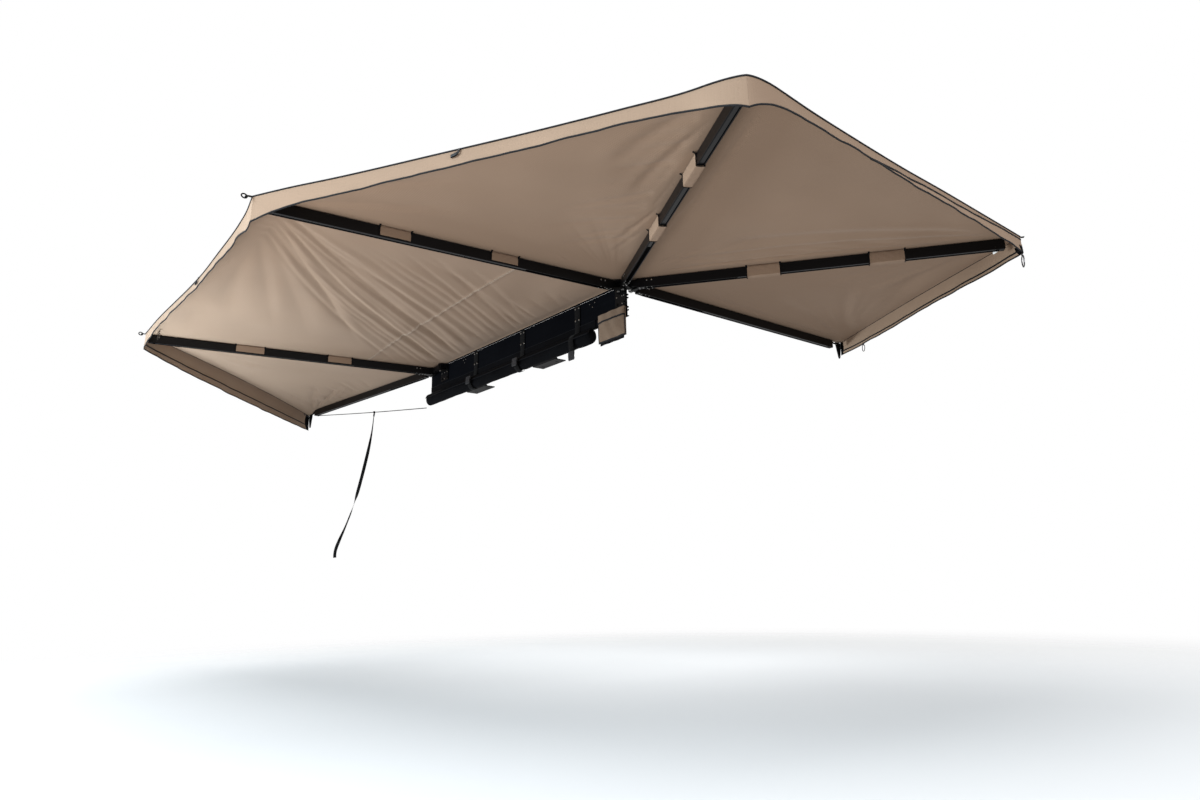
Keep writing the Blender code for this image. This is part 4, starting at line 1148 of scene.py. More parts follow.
# keder edge that holds the canopy along the top of the rail
for part, s0, s1 in (("de_rear", 0.03, 0.5), ("de_front", 0.5, 0.985)):
    x0 = HUB_R.x + (HUB_F.x - HUB_R.x) * s0
    x1 = HUB_R.x + (HUB_F.x - HUB_R.x) * s1
    pts = [Vector((x0 + (x1 - x0) * i / 60, -0.0175, 0.0366)) for i in range(61)]
    ob = build("keder_" + part, *tube(pts, 0.0044, 10), M_RAIL)
    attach(ob, "fixed_base")


# --------------------------------------------------- seams above the arms
def surface_z(key, x, y):
    X, Y = np.array([x]), np.array([y])
    return float(canopy_z(X, Y, key, np.zeros(1))[0])


for k in ARMS:
    c = corner(k)
    hub = HUB_F if k in "ef" else HUB_R
    cut = ROUND.get(k, (0.0, 0.0))[0]
    p0 = hub.lerp(c, 0.03)
    p1 = c - u_of(k) * (cut + 0.004)
    n = 60
    side = v_of(k)
    lv = []
    for i in range(n):
        p = p0.lerp(p1, i / (n - 1))
        dz = float(EDGE[{"c": "cd", "d": "cd", "b": "bc", "a": "ab", "e": "ef", "f": "ef"}[k]].dz(
            1.0 if k in "df" else 0.0)) * float(smoothstep(0.90, 1.0, i / (n - 1)))
        p.z = Z0 + CLOTH + dz + 0.0002
        w = 0.016
        lv.append([p + side * w, p + side * w + UP * 0.0010, p + side * (w - 0.003) + UP * 0.0016, p + UP * 0.0019,
                   p - side * (w - 0.003) + UP * 0.0016, p - side * w + UP * 0.0010, p - side * w])
    ob = build("seam_tape_" + k, *section_sweep(lv), M_CANOPY)
    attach(ob, "arm_" + k)
    parts = []
    for s in (-1, 1):
        for i in range(150):
            f_ = 0.035 + 0.93 * i / 149
            p = p0.lerp(p1, f_) + side * (s * 0.0115)
            p.z = Z0 + CLOTH + 0.0021
            parts.append(slab(p, (p1 - p0), side, UP, (0.0075, 0.0016, 0.0010), 0.0003))
    v, f = join_parts(parts)
    ob = build("seam_stitches_" + k, v, f, M_THREAD)
    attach(ob, "arm_" + k)

# sewn seam of the hub-to-hub panel, parallel to the case
for part, xa, xb in (("de_rear", 0.085, 1.168), ("de_front", 1.176, 2.262)):
    parts = []
    n = int((xb - xa) / 0.011)
    for i in range(n):
        x = xa + (xb - xa) * (i + 0.5) / n
        y = 0.585 - 0.045 * x
        for s in (0.0, 0.007):
            z = surface_z("de", x, y + s)
            for layer, zz in (("low", z - 0.0007), ("top", z + CLOTH + 0.0007)):
                parts.append(slab((x, y + s, zz), (1.0, -0.045, 0.0), (0.045, 1.0, 0.0), UP, (0.0075, 0.0017, 0.0011), 0.0003))
    v, f = join_parts(parts)
    ob = build("seam_stitches_" + part, v, f, M_THREAD)
    follow(ob, part)

# -------------------------------------------------------- tabs, rings, hooks
def ring(center, axis, r, wire, n=28, sides=8, stretch=(1.0, 1.0), start=0.0, sweep=2 * math.pi):
    axis = Vector(axis).normalized()
    a = UP.cross(axis)
    a = a.normalized() if a.length > 1e-4 else axis.orthogonal().normalized()
    b = axis.cross(a)
    closed = abs(sweep - 2 * math.pi) < 1e-6
    m_ = n if closed else n + 1
    pts = []
    for i in range(m_):
        q = start + sweep * i / n
        pts.append(Vector(center) + a * (r * stretch[0] * math.cos(q)) + b * (r * stretch[1] * math.sin(q)))
    return tube(pts, wire, sides, closed=closed)


def edge_tab(name, key, t, length, width=0.020, drop=0.012, with_ring=True, direction=None):
    """Short webbing tab sewn under the top edge, with a D-ring."""
    e = EDGE[key]
    p = e.at(t)
    o = e.out_dir(t) if direction is None else Vector(direction).normalized()
    side = Vector((-o.y, o.x, 0.0))
    path = []
    for i in range(9):
        s = i / 8
        q = p + o * (0.004 + length * s)
        q.z = p.z - 0.002 - drop * s * s
        path.append(q)
    parts = [band(path, side, width, 0.0026)]
    if with_ring:
        c = path[-1] + o * 0.006 - UP * 0.003
        parts.append(ring(c + o * 0.003, side, 0.0105, 0.0030, stretch=(1.15, 0.85)))
        parts.append(slab(c - o * 0.006, o, side, UP, (0.010, width * 0.9, 0.0075), 0.002))
    v, f = join_parts(parts)
    ob = build(name, v, f, M_WEB)
    return ob


def hang_hook(at, along, size=0.030, wire=0.0018):
    """Small wire snap hook hanging from a point."""
    along = Vector(along).normalized()
    side = Vector((-along.y, along.x, 0.0))
    pts = []
    outline = [(0.0, 0.0), (0.30, -0.10), (0.40, -0.35), (0.32, -0.75), (0.12, -1.0), (-0.14, -1.0), (-0.34, -0.78),
               (-0.38, -0.35), (-0.28, -0.08)]
    for x, z in outline:
        pts.append(Vector(at) + along * (x * size) + UP * (z * size))
    n = len(pts)
    fine = []
    for i in range(n):
        p0, p1, p2, p3 = pts[i - 1], pts[i], pts[(i + 1) % n], pts[(i + 2) % n]
        for k in range(4):
            t = k / 4
            fine.append(0.5 * ((2 * p1) + (p2 - p0) * t + (2 * p0 - 5 * p1 + 4 * p2 - p3) * t * t
                               + (3 * p1 - p0 - 3 * p2 + p3) * t ** 3))
    eye = ring(Vector(at) + UP * 0.007, side, 0.0065, wire)
    return join_parts([tube(fine, wire, 8, closed=True), eye])


def rigid(ob, body):
    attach(ob, body)
    return ob


rigid(edge_tab("corner_tab_d", "cd", 1.0, 0.024, 0.016, 0.003, direction=u_of("d") + v_of("d") * 0.2), "arm_d")
rigid(edge_tab("corner_tab_e", "ef", 0.0, 0.018, 0.016, 0.0, direction=u_of("e") + v_of("e") * 0.4), "arm_e")
rigid(edge_tab("corner_tab_b", "bc", 0.0, 0.014, 0.018, 0.0, with_ring=False, direction=u_of("b")), "arm_b")


def mid_tab(name, key, part, t, length=0.030):
    """Toggle tab that hangs on the outside of the skirt at mid edge."""
    e = EDGE[key]
    d = Vector((e.out_dir(t).y, -e.out_dir(t).x, 0.0))
    o = e.out_dir(t)
    top = e.at(t) + o * 0.006
    path = [top + UP * 0.002, top - UP * 0.006 + o * 0.002, top - UP * 0.014 + o * 0.004 + d * 0.002,
            top - UP * 0.020 + o * 0.005 + d * 0.006]
    c = path[-1]
    parts = [band(path, d, 0.010, 0.0022),
             slab(c + d * 0.012 - UP * 0.004, d * 1.0 - UP * 0.25, o, UP, (length, 0.008, 0.013), 0.003)]
    v, f = join_parts(parts)
    ob = build(name, v, f, M_PLASTIC)
    follow(ob, part)


mid_tab("edge_toggle_cd", "cd", "cd", 0.53)
mid_tab("edge_toggle_de", "de", "de_rear", 0.475)

# hooks: one below corner B, one on the A-B edge, two inside corner E
pB = corner("b") + u_of("b") * 0.0 + UP * (Z0 - 0.086)
rigid(build("snap_hook_b", *hang_hook(pB + v_of("b") * 0.004 - UP * 0.010, v_of("b"), 0.054, 0.0030), M_WIRE), "arm_b")
e_ab = EDGE["ab"]
pAB = e_ab.skirt(0.17, 1.0) - UP * 0.006
ob = build("snap_hook_ab", *hang_hook(pAB, (e_ab.B - e_ab.A), 0.040, 0.0024), M_WIRE)
follow(ob, "ab")
for i, (t, inset) in enumerate(((0.955, 0.05), (0.935, 0.05))):
    e_de = EDGE["de"]
    p = e_de.at(t) + e_de.n_in * inset
    p.z = Z0 - 0.012
    tabp = [p + UP * 0.012, p + UP * 0.002, p - UP * 0.006]
    v, f = join_parts([band(tabp, (e_de.B - e_de.A), 0.012, 0.0022), hang_hook(p - UP * 0.010, e_de.B - e_de.A, 0.034)])
    ob = build("snap_hook_e%d" % (i + 1), v, f, M_WIRE)
    follow(ob, "de_front")

# small sewn label inside, near corner B (left bare)
lab_t = 0.945
pl = e_ab.at(lab_t) + e_ab.n_in * 0.055
side = (e_ab.B - e_ab.A).normalized()
path = []
for i in range(7):
    s = i / 6
    q = pl + e_ab.n_in * (0.012 * math.sin(s * 2.2))
    q.z = Z0 - 0.002 - 0.045 * s
    path.append(q)
ob = build("care_label", *band(path, [side] * 7, 0.032, 0.0008), M_LABEL)
follow(ob, "ab")


# ------------------------------------------------------ corner fittings A, F
for k in "af":
    key = "ab" if k == "a" else "ef"
    e = EDGE[key]
    t = 0.0 if k == "a" else 1.0
    u, v_ = u_of(k), v_of(k)
    sgn = 1.0 if k == "a" else -1.0
    c = corner(k)
    dz = float(e.dz(t))
    lift = 0.0035
    lo = dz
    outline = [(-0.055, 0.0405), (-0.030, 0.0420), (-0.002, 0.0420), (0.004, 0.034), (0.001, 0.000),
               (-0.011, -0.062), (-0.016, -0.069), (-0.022, -0.069), (-0.026, -0.060)]
    c0 = c + v_ * (sgn * 0.006)

    def at(a, z, off, c0=c0, u=u, v_=v_, lo=lo):
        return c0 + u * a + UP * (z + lo) + v_ * off
    mid = (-0.022, 0.006)
    lv = []
    for off, sc in ((-0.0046, 0.90), (-0.0038, 1.0), (0.0038, 1.0), (0.0046, 0.90)):
        lv.append([at(mid[0] + (a - mid[0]) * sc, mid[1] + (z - mid[1]) * sc, off) for a, z in outline])
    rim = []
    for off, sc in ((0.0045 * sgn, 0.62), (0.0068 * sgn, 0.58)):
        rim.append([at(mid[0] + (a - mid[0]) * sc, mid[1] + (z - mid[1]) * sc, off) for a, z in outline])
    stud = lathe([(0.0, 0.0050), (0.0018, 0.0050), (0.0030, 0.0036), (0.0034, 0.001)],
                 at(-0.020, 0.012, 0.0066 * sgn), v_ * sgn, 14)
    v, f = join_parts([section_sweep(lv), section_sweep(rim), stud])
    ob = build("corner_fitting_" + k, v, f, M_PLASTIC, sharp=40)
    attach(ob, "arm_" + k)
    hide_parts("arm_%s_corner_fitting" % k)



def corner_patch(name, key, t_end, reach, face, q0=0.04, q1=0.99):
    """Black reinforcement sewn on the last bit of a skirt, inside (face -1) or outside (face 1)."""
    e = EDGE[key]
    n, m_ = 14, 12
    P = np.zeros((n, m_, 3))
    for i in range(n):
        q = q0 + (q1 - q0) * i / (n - 1)
        span = reach * (0.75 + 0.45 * math.sin(math.pi * min(1.0, q * 0.9)) - 0.35 * q)
        for j in range(m_):
            t = abs(t_end - span * (1 - j / (m_ - 1)))
            p = e.skirt(t, q)
            o = e.out_dir(t)
            off = (CLOTH + 0.0006) if face > 0 else -0.0018
            P[i, j] = tuple(p + o * off)
    o = e.out_dir(abs(t_end - reach * 0.5))
    ob = shell(name, P, 0.0012, M_PVC, tuple(o))
    follow(ob, key)


for face, word in ((-1, "inner"), (1, "outer")):
    corner_patch("corner_patch_f_" + word, "ef", 1.0, 0.034, face)
    corner_patch("corner_patch_a_" + word, "ab", 0.0, 0.022, face)
    corner_patch("corner_patch_b_ab_" + word, "ab", 1.0, 0.024, face, 0.46, 0.99)
    corner_patch("corner_patch_b_bc_" + word, "bc", 0.0, 0.016, face, 0.60, 0.99)

# small rings sewn inside corner F
e_ef = EDGE["ef"]
parts = []
for k_, (t, q) in enumerate(((0.972, 0.12), (0.952, 0.10))):
    p = e_ef.skirt(t, q) - e_ef.out_dir(t) * 0.012
    parts.append(ring(p, e_ef.out_dir(t) + UP * 0.4, 0.0080, 0.0017))
    parts.append(band([p + e_ef.out_dir(t) * 0.010 + UP * 0.004, p + e_ef.out_dir(t) * 0.003 + UP * 0.006,
                       p + UP * 0.0075], (e_ef.B - e_ef.A), 0.010, 0.0014))
v, f = join_parts(parts)
ob = build("corner_rings_f", v, f, M_WIRE)
follow(ob, "ef")

# strap that ties the end of the A skirt to its arm tip, and the F one
for k in "af":
    u, v_ = u_of(k), v_of(k)
    c = corner(k)
    tip = FOOT[k] + u * 1.868
    dz = float(EDGE["ab" if k == "a" else "ef"].dz(0.0 if k == "a" else 1.0))
    path = []
    for i in range(11):
        s = i / 10
        p = tip.lerp(c - u * 0.020, s)
        p.z = 0.034 + (dz * 0.8 - 0.002) * s - 0.006 * math.sin(math.pi * s)
        path.append(p)
    ob = build("tip_strap_" + k, *band(path, [v_] * 11, 0.018, 0.0022), M_WEB)
    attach(ob, "arm_" + k)

# screws that hold each beam to its knuckle, and the ones of the hub plates
def button(at, axis, r=0.0042, h=0.0020):
    return lathe([(0.0, r), (h * 0.45, r * 1.02), (h * 0.85, r * 0.78), (h, r * 0.35)], at, axis, 12)


def arm_point(k, a, b, z):
    return FOOT[k] + u_of(k) * a + v_of(k) * b + UP * z


for k in ARMS:
    parts = []
    for a in (0.098, 0.124):
        for s in (-1, 1):
            parts.append(button(arm_point(k, a, s * 0.0158, 0.026), v_of(k) * s))
            parts.append(button(arm_point(k, a, s * 0.0125, -0.0118), -UP, 0.0030, 0.0018))
    for a, b in ((0.056, -0.008), (0.056, 0.008), (0.076, 0.0)):
        parts.append(button(arm_point(k, a, b, -0.0108), -UP, 0.0036, 0.0022))
    v, f = join_parts(parts)
    ob = build("arm_screws_" + k, v, f, M_STEEL)
    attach(ob, "arm_" + k)

parts = []
for xs in ((0.038, 0.052, 0.098), (2.042, 2.080, 2.118)):
    for x in xs:
        for z in (-0.022, -0.066):
            parts.append(button((x, -0.0188, z), (0, 1, 0), 0.0042, 0.0024))
v, f = join_parts(parts)
ob = build("hub_plate_screws", v, f, M_STEEL)
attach(ob, "fixed_base")

# -------------------------------------------------------------- fabric loops
LOOPS = {"b": ((0.625, 0.800), (1.235, 1.410)), "c": ((0.655, 0.830), (1.205, 1.385)),
         "d": ((0.630, 0.785), (1.195, 1.350)), "e": ((0.600, 0.770), (1.180, 1.365))}


def arm_pt(k, a, b, z):
    return FOOT[k] + u_of(k) * a + v_of(k) * b + UP * z


def loop_shell(k, u0, u1, wrap, seed):
    """Cloth sleeve round the beam; wrap: closed underneath."""
    nu = 26
    out = []
    low = -0.0143 if wrap else -0.0040
    base = []
    # outline of the sleeve's middle surface: up one side, over the top, down the other
    for i in range(9):
        base.append((0.0174, low + (0.0385 - low) * i / 8, 1))
    for i in range(5):
        a = math.radians(90 * i / 4)
        base.append((0.0150 + 0.0024 * math.cos(a), 0.0392 + 0.0024 * math.sin(a), 0))
    for i in range(1, 6):
        base.append((0.0150 - 0.0300 * i / 6, 0.0416, 0))
    base += [(-b, z, s_) for b, z, s_ in base[:14][::-1]]
    if wrap:
        for i in range(1, 8):
            base.append((-0.0174 + 0.0348 * i / 8, low, 2))
    n = len(base)
    rows = []
    for i in range(nu):
        s = i / (nu - 1)
        a = u0 + (u1 - u0) * s
        row = []
        for j, (b, z, flag) in enumerate(base):
            puff = 0.0
            if flag:
                puff = 0.0016 * math.sin(math.pi * s) + 0.0007 * float(
                    wobble(s * 3.0 + z * 30.0, seed, (1.1, 2.3), 1.0)) * math.sin(math.pi * s)
                puff = max(puff, 0.0)
            if flag == 1:
                row.append((a, b + math.copysign(puff, b), z))
            elif flag == 2:
                row.append((a, b, z - puff * 0.7))
            else:
                row.append((a, b, z))
        rows.append(row)
    verts, faces = [], []
    th = 0.0009
    # outer and inner skins
    for sgn in (1, -1):
        for row in rows:
            for j, (a, b, z) in enumerate(row):
                jm, jp = (j - 1) % n if wrap else max(j - 1, 0), (j + 1) % n if wrap else min(j + 1, n - 1)
                tb, tz = row[jp][1] - row[jm][1], row[jp][2] - row[jm][2]
                ln = math.hypot(tb, tz) or 1.0
                nb, nz = tz / ln, -tb / ln
                verts.append(arm_pt(k, a, b + nb * th * 0.5 * sgn, z + nz * th * 0.5 * sgn))
    m_ = n if wrap else n - 1
    c = nu * n
    for i in range(nu - 1):
        for j in range(m_):
            jj = (j + 1) % n
            a, b, d, e_ = i * n + j, i * n + jj, (i + 1) * n + jj, (i + 1) * n + j
            faces.append((a, b, d, e_))
            faces.append((c + a, c + e_, c + d, c + b))
    for i in (0, nu - 1):
        for j in range(m_):
            jj = (j + 1) % n
            a, b = i * n + j, i * n + jj
            faces.append((a, c + a, c + b, b))
    if not wrap:
        for j in (0, n - 1):
            for i in range(nu - 1):
                a, b = i * n + j, (i + 1) * n + j
                faces.append((a, c + a, c + b, b))
    return verts, faces


for k, spans in LOOPS.items():
    wrap = k in "bc"
    parts, edge_parts = [], []
    for idx, (u0, u1) in enumerate(spans):
        parts.append(loop_shell(k, u0, u1, wrap, 40 + idx + ord(k)))
        for a in (u0 + 0.0015, u1 - 0.0015):
            low = -0.0156 if wrap else -0.0046
            pts = []
            for b, z in [(0.0188, low), (0.0190, 0.010), (0.0189, 0.0395)]:
                pts.append(arm_pt(k, a, b, z))
            edge_parts.append(band(pts, u_of(k), 0.0052, 0.0012))
            edge_parts.append(band([arm_pt(k, a, -0.0188, low), arm_pt(k, a, -0.0190, 0.010),
                                    arm_pt(k, a, -0.0189, 0.0395)], u_of(k), 0.0052, 0.0012))
            if wrap:
                edge_parts.append(band([arm_pt(k, a, 0.0176, -0.0157), arm_pt(k, a, 0.0, -0.0163),
                                        arm_pt(k, a, -0.0176, -0.0157)], u_of(k), 0.0052, 0.0012))
            # little webbing tab that sews the loop end to the canopy
            for s in (-1, 1):
                edge_parts.append(band([arm_pt(k, a, s * 0.0185, 0.0300), arm_pt(k, a, s * 0.0205, 0.0385),
                                        arm_pt(k, a, s * 0.0300, 0.0424)], u_of(k), 0.009, 0.0014))
    v, f = join_parts(parts)
    ob = build("arm_loops_" + k, v, f, M_LOOP, sharp=60)
    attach(ob, "arm_" + k)
    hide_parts("arm_%s_loops" % k)
    v, f = join_parts(edge_parts)
    ob = build("loop_edging_" + k, v, f, M_WEB)
    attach(ob, "arm_" + k)

# -------------------------------------------------------------- travel cover
ROLL_C = (-0.005, -0.1925)
ROLL_AB = (0.031, 0.0425)
ROLL_X = (0.285, 2.300)
STRAP_X = (0.462, 1.045, 1.630)

nx, na = 180, 56
rows = []
for i in range(nx):
    s = i / (nx - 1)
    x = ROLL_X[0] + 0.004 + (ROLL_X[1] - ROLL_X[0] - 0.008) * s
    pinch = 0.0
    for sx in STRAP_X:
        pinch = max(pinch, math.exp(-((x - sx) / 0.040) ** 2))
    endt = min(1.0, min(s, 1 - s) / 0.02)
    taper = 0.55 + 0.45 * math.sqrt(max(0.0, 1 - (1 - endt) ** 2))
    row = []
    for j in range(na):
        a = 2 * math.pi * j / na
        lump = 0.030 * math.sin(2 * math.pi * x * 1.7 + 2.0 * a + 0.8) + 0.022 * math.sin(2 * math.pi * x * 3.9 - a)
        lump += 0.016 * math.sin(2 * math.pi * x * 8.3 + 3.0 * a)
        spiral = 0.055 * math.exp(-((a - math.radians(118) - 0.15 * math.sin(x * 3.0)) / 0.11) ** 2)
        crease = 0.05 * math.exp(-((a - math.radians(205) - 0.25 * math.sin(x * 5.0)) / 0.16) ** 2)
        k = (0.985 + lump * 0.7 + spiral - crease) * (1.0 - 0.10 * pinch) * taper
        k = min(k, 1.03)
        row.append(Vector((x, ROLL_C[0] + ROLL_AB[0] * k * math.cos(a), ROLL_C[1] + ROLL_AB[1] * k * math.sin(a))))
    rows.append(row)
cover = build("travel_cover_roll", *section_sweep(rows), M_PVC)
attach(cover, "fixed_base")
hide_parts("travel_cover")

# flap of the cover that runs from the rail down on to the roll
flap = np.zeros((15, 90, 3))
for j in range(90):
    x = ROLL_X[0] + 0.010 + (ROLL_X[1] - ROLL_X[0] - 0.025) * j / 89
    for i in range(15):
        s = i / 14
        if s < 0.55:
            y = -0.0225 + 0.0010 * math.sin(3.1 * s)
            z = -0.098 - 0.075 * s
        else:
            a = math.radians(112 - 95 * (s - 0.55) / 0.45)
            y = ROLL_C[0] + (ROLL_AB[0] + 0.0020) * math.cos(a)
            z = ROLL_C[1] + (ROLL_AB[1] + 0.0020) * math.sin(a)
        pin = max(math.exp(-((x - sx) / 0.035) ** 2) for sx in STRAP_X)
        y += (0.0016 * math.sin(9.0 * x + 4.0 * s) + 0.0010 * math.sin(23.0 * x - 3.0 * s)) * (1 - pin) * (0.3 + 0.7 * s)
        flap[i, j] = (x, max(y, -0.0232), z)
ob = shell("cover_flap", flap, 0.0012, M_PVC, (0, 1, 0))
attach(ob, "fixed_base")
welt = [Vector((float(p[0]), float(p[1]) + 0.0018, float(p[2]))) for p in flap[-1]]
ob = build("cover_welt", *tube(welt, 0.0026, 8), M_PVC_EDGE)
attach(ob, "fixed_base")
welt = [Vector((float(p[0]), float(p[1]) + 0.0018, float(p[2]))) for p in flap[0]]
ob = build("cover_top_welt", *tube(welt, 0.0022, 8), M_PVC_EDGE)
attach(ob, "fixed_base")


# ------------------------------------------------------- straps and buckles
def strap_path(low):
    path = [(-0.0218, 0.030), (-0.0218, 0.000), (-0.0218, -0.030), (-0.0216, -0.060), (-0.0205, -0.088),
            (-0.0190, -0.115), (-0.0165, -0.135)]
    for deg in (82, 66, 50, 35, 20, 5, -10, -22):
        a = math.radians(deg)
        path.append((ROLL_C[0] + (ROLL_AB[0] + 0.0055) * math.cos(a), ROLL_C[1] + (ROLL_AB[1] + 0.0055) * math.sin(a)))
    if low:
        path += [(0.0290, -0.222), (0.0276, -0.240), (0.0270, -0.262)]
    else:
        for deg in (-40, -60, -80, -100, -120):
            a = math.radians(deg)
            path.append((ROLL_C[0] + (ROLL_AB[0] + 0.0048) * math.cos(a), ROLL_C[1] + (ROLL_AB[1] + 0.0042) * math.sin(a)))
    return path


def buckle(cx, cy, cz, tilt):
    """Side-release buckle: frame, prongs and a centre bar, seen from the front."""
    ax, out = Vector((1.0, 0.0, 0.0)), Vector((0.0, math.cos(tilt), math.sin(tilt)))
    up_ = Vector((0.0, -math.sin(tilt), math.cos(tilt)))
    c = Vector((cx, cy, cz))
    parts = []
    body = [(-0.027, 0.026), (0.027, 0.026), (0.028, 0.010), (0.0235, -0.004), (0.0275, -0.014), (0.024, -0.026),
            (-0.024, -0.026), (-0.0275, -0.014), (-0.0235, -0.004), (-0.028, 0.010)]
    lv = []
    for h, s in ((-0.0040, 0.94), (-0.0030, 1.0), (0.0025, 1.0), (0.0045, 0.92)):
        lv.append([c + ax * (a * s) + up_ * (b * s) + out * h for a, b in body])
    parts.append(section_sweep(lv))
    for s in (-1, 1):
        parts.append(slab(c + ax * (s * 0.0215) + up_ * -0.001 + out * 0.0040, ax, up_, out, (0.0065, 0.018, 0.0035), 0.0014))
    parts.append(slab(c + up_ * 0.0155 + out * 0.0045, ax, up_, out, (0.040, 0.0040, 0.0030), 0.0012))
    parts.append(slab(c + up_ * -0.0175 + out * 0.0045, ax, up_, out, (0.036, 0.0034, 0.0030), 0.0012))
    parts.append(slab(c + up_ * 0.004 + out * 0.0044, ax, up_, out, (0.020, 0.013, 0.0022), 0.0009))
    return join_parts(parts)


STRAP_NAMES = ("cover_strap_rear", "cover_strap_middle", "cover_strap_front")
BUCKLES = ((STRAP_X[0], 0.027, -0.275), (STRAP_X[1], 0.0395, -0.182), (STRAP_X[2], 0.0395, -0.178))
for i, x in enumerate(STRAP_X):
    path = resample([Vector((x, y, z)) for y, z in strap_path(i == 0)], 60)
    v, f = band(path, Vector((1.0, 0.0, 0.0)), 0.047, 0.0022)
    # backing plate that holds the strap to the rail
    plate = slab((x, -0.0203, -0.020), (1, 0, 0), (0, 0, 1), (0, 1, 0), (0.050, 0.104, 0.0020), 0.0007)
    v, f = join_parts([(v, f), plate])
    ob = build(STRAP_NAMES[i] + "_webbing", v, f, M_WEB)
    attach(ob, "fixed_base")
    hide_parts(STRAP_NAMES[i])
    studs = []
    for s in (-1, 1):
        for z in (0.016, -0.056):
            studs.append(lathe([(0.0, 0.0052), (0.0009, 0.0056), (0.0020, 0.0048), (0.0028, 0.0030), (0.0031, 0.0008)],
                               (x + s * 0.017, -0.0192, z), (0, 1, 0), 16))
    v, f = join_parts(studs)
    ob = build(STRAP_NAMES[i] + "_rivets", v, f, M_STEEL)
    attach(ob, "fixed_base")
    cx, cy, cz = BUCKLES[i]
    v, f = buckle(cx, cy + 0.001, cz, 0.0 if i == 0 else 0.12)
    ob = build(("strap_buckle_rear", "strap_buckle_middle", "strap_buckle_front")[i] + "_body", v, f, M_BUCKLE, sharp=35)
    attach(ob, "fixed_base")
    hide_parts(("strap_buckle_rear", "strap_buckle_middle", "strap_buckle_front")[i])

# small rivets of the rail, in pairs between the straps
studs = []
for x, z in ((0.300, 0.010), (0.345, 0.010), (0.322, -0.012), (1.780, 0.012), (1.810, 0.010), (1.795, -0.010)):
    studs.append(lathe([(0.0, 0.0030), (0.0008, 0.0032), (0.0016, 0.0024), (0.0019, 0.0006)], (x, -0.0240, z), (0, 1, 0), 12))
v, f = join_parts(studs)
ob = build("rail_rivets", v, f, M_STEEL)
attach(ob, "fixed_base")

# ------------------------------------------------------------ storage pocket
PX = (0.027, 0.262)
nxp, nzp = 40, 46


def pocket_front(sx, sz):
    """Front face bulge: sx 0..1 along, sz 0 top .. 1 bottom."""
    belly = math.sin(math.pi * min(1.0, max(0.0, sx))) ** 0.45
    depth = 0.006 + 0.020 * belly * (math.sin(math.pi * min(1.0, 0.12 + 0.80 * sz)) ** 0.8)
    depth += 0.0016 * math.sin(17 * sx + 6 * sz) * belly + 0.0012 * math.sin(9 * sz - 11 * sx) * belly
    return -0.0235 + min(depth, 0.0290)


front = []
rows = []
for i in range(nzp):
    sz = i / (nzp - 1)
    z = -0.0870 - (0.248 - 0.0870) * sz
    ring_ = []
    for j in range(nxp):
        sx = j / (nxp - 1)
        x = PX[0] + 0.002 + (PX[1] - PX[0] - 0.004) * sx
        ring_.append(Vector((x, pocket_front(sx, sz), z - 0.003 * math.sin(math.pi * sx))))
    for j in range(nxp - 1, -1, -1):
        sx = j / (nxp - 1)
        x = PX[0] + 0.002 + (PX[1] - PX[0] - 0.004) * sx
        ring_.append(Vector((x, -0.0233, z - 0.003 * math.sin(math.pi * sx))))
    rows.append(ring_)
pocket = build("storage_pocket_bag", *section_sweep(rows), M_POCKET_SHADED, sharp=70)
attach(pocket, "fixed_base")
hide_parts("storage_pocket")


def pocket_band(name, pts, width, thick, side, mat=M_BIND):
    ob = build(name, *band(pts, side, width, thick), mat)
    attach(ob, "fixed_base")


def on_pocket(sx, sz, off=0.0012):
    x = PX[0] + 0.002 + (PX[1] - PX[0] - 0.004) * sx
    z = -0.0870 - (0.248 - 0.0870) * sz - 0.003 * math.sin(math.pi * sx)
    return Vector((x, pocket_front(sx, sz) + off, z))


# top flap of the pocket with its dark closing line
fl = np.zeros((10, 44, 3))
for j in range(44):
    sx = j / 43
    for i in range(10):
        s = i / 9
        p = on_pocket(sx, 0.02 + 0.26 * s, 0.0022 + 0.0012 * s)
        fl[i, j] = (p.x, p.y, p.z + 0.004 * (1 - s))
ob = shell("pocket_flap", fl, 0.0014, M_POCKET_SHADED, (0, 1, 0))
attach(ob, "fixed_base")
pocket_band("pocket_flap_binding", [on_pocket(s, 0.285, 0.0046) for s in np.linspace(0.0, 1.0, 44)], 0.0095, 0.0022, [UP] * 44)
pocket_band("pocket_left_binding", [on_pocket(0.005, s, 0.0004) for s in np.linspace(0.0, 1.0, 30)], 0.007, 0.0022,
            [Vector((1, 0, 0))] * 30)
pocket_band("pocket_right_binding", [on_pocket(0.995, s, 0.0004) for s in np.linspace(0.0, 1.0, 30)], 0.007, 0.0022,
            [Vector((1, 0, 0))] * 30)
pocket_band("pocket_bottom_binding", [on_pocket(s, 0.985, 0.0012) for s in np.linspace(0.0, 1.0, 44)], 0.010, 0.0024, [UP] * 44)
pts = [Vector((PX[0] + 0.010 + (PX[1] - PX[0] - 0.030) * i / 20, -0.012 + 0.002 * math.sin(i * 0.9), -0.2585)) for i in range(21)]
pocket_band("pocket_lower_strap", pts, 0.016, 0.0030, [UP] * 21, M_WEB)

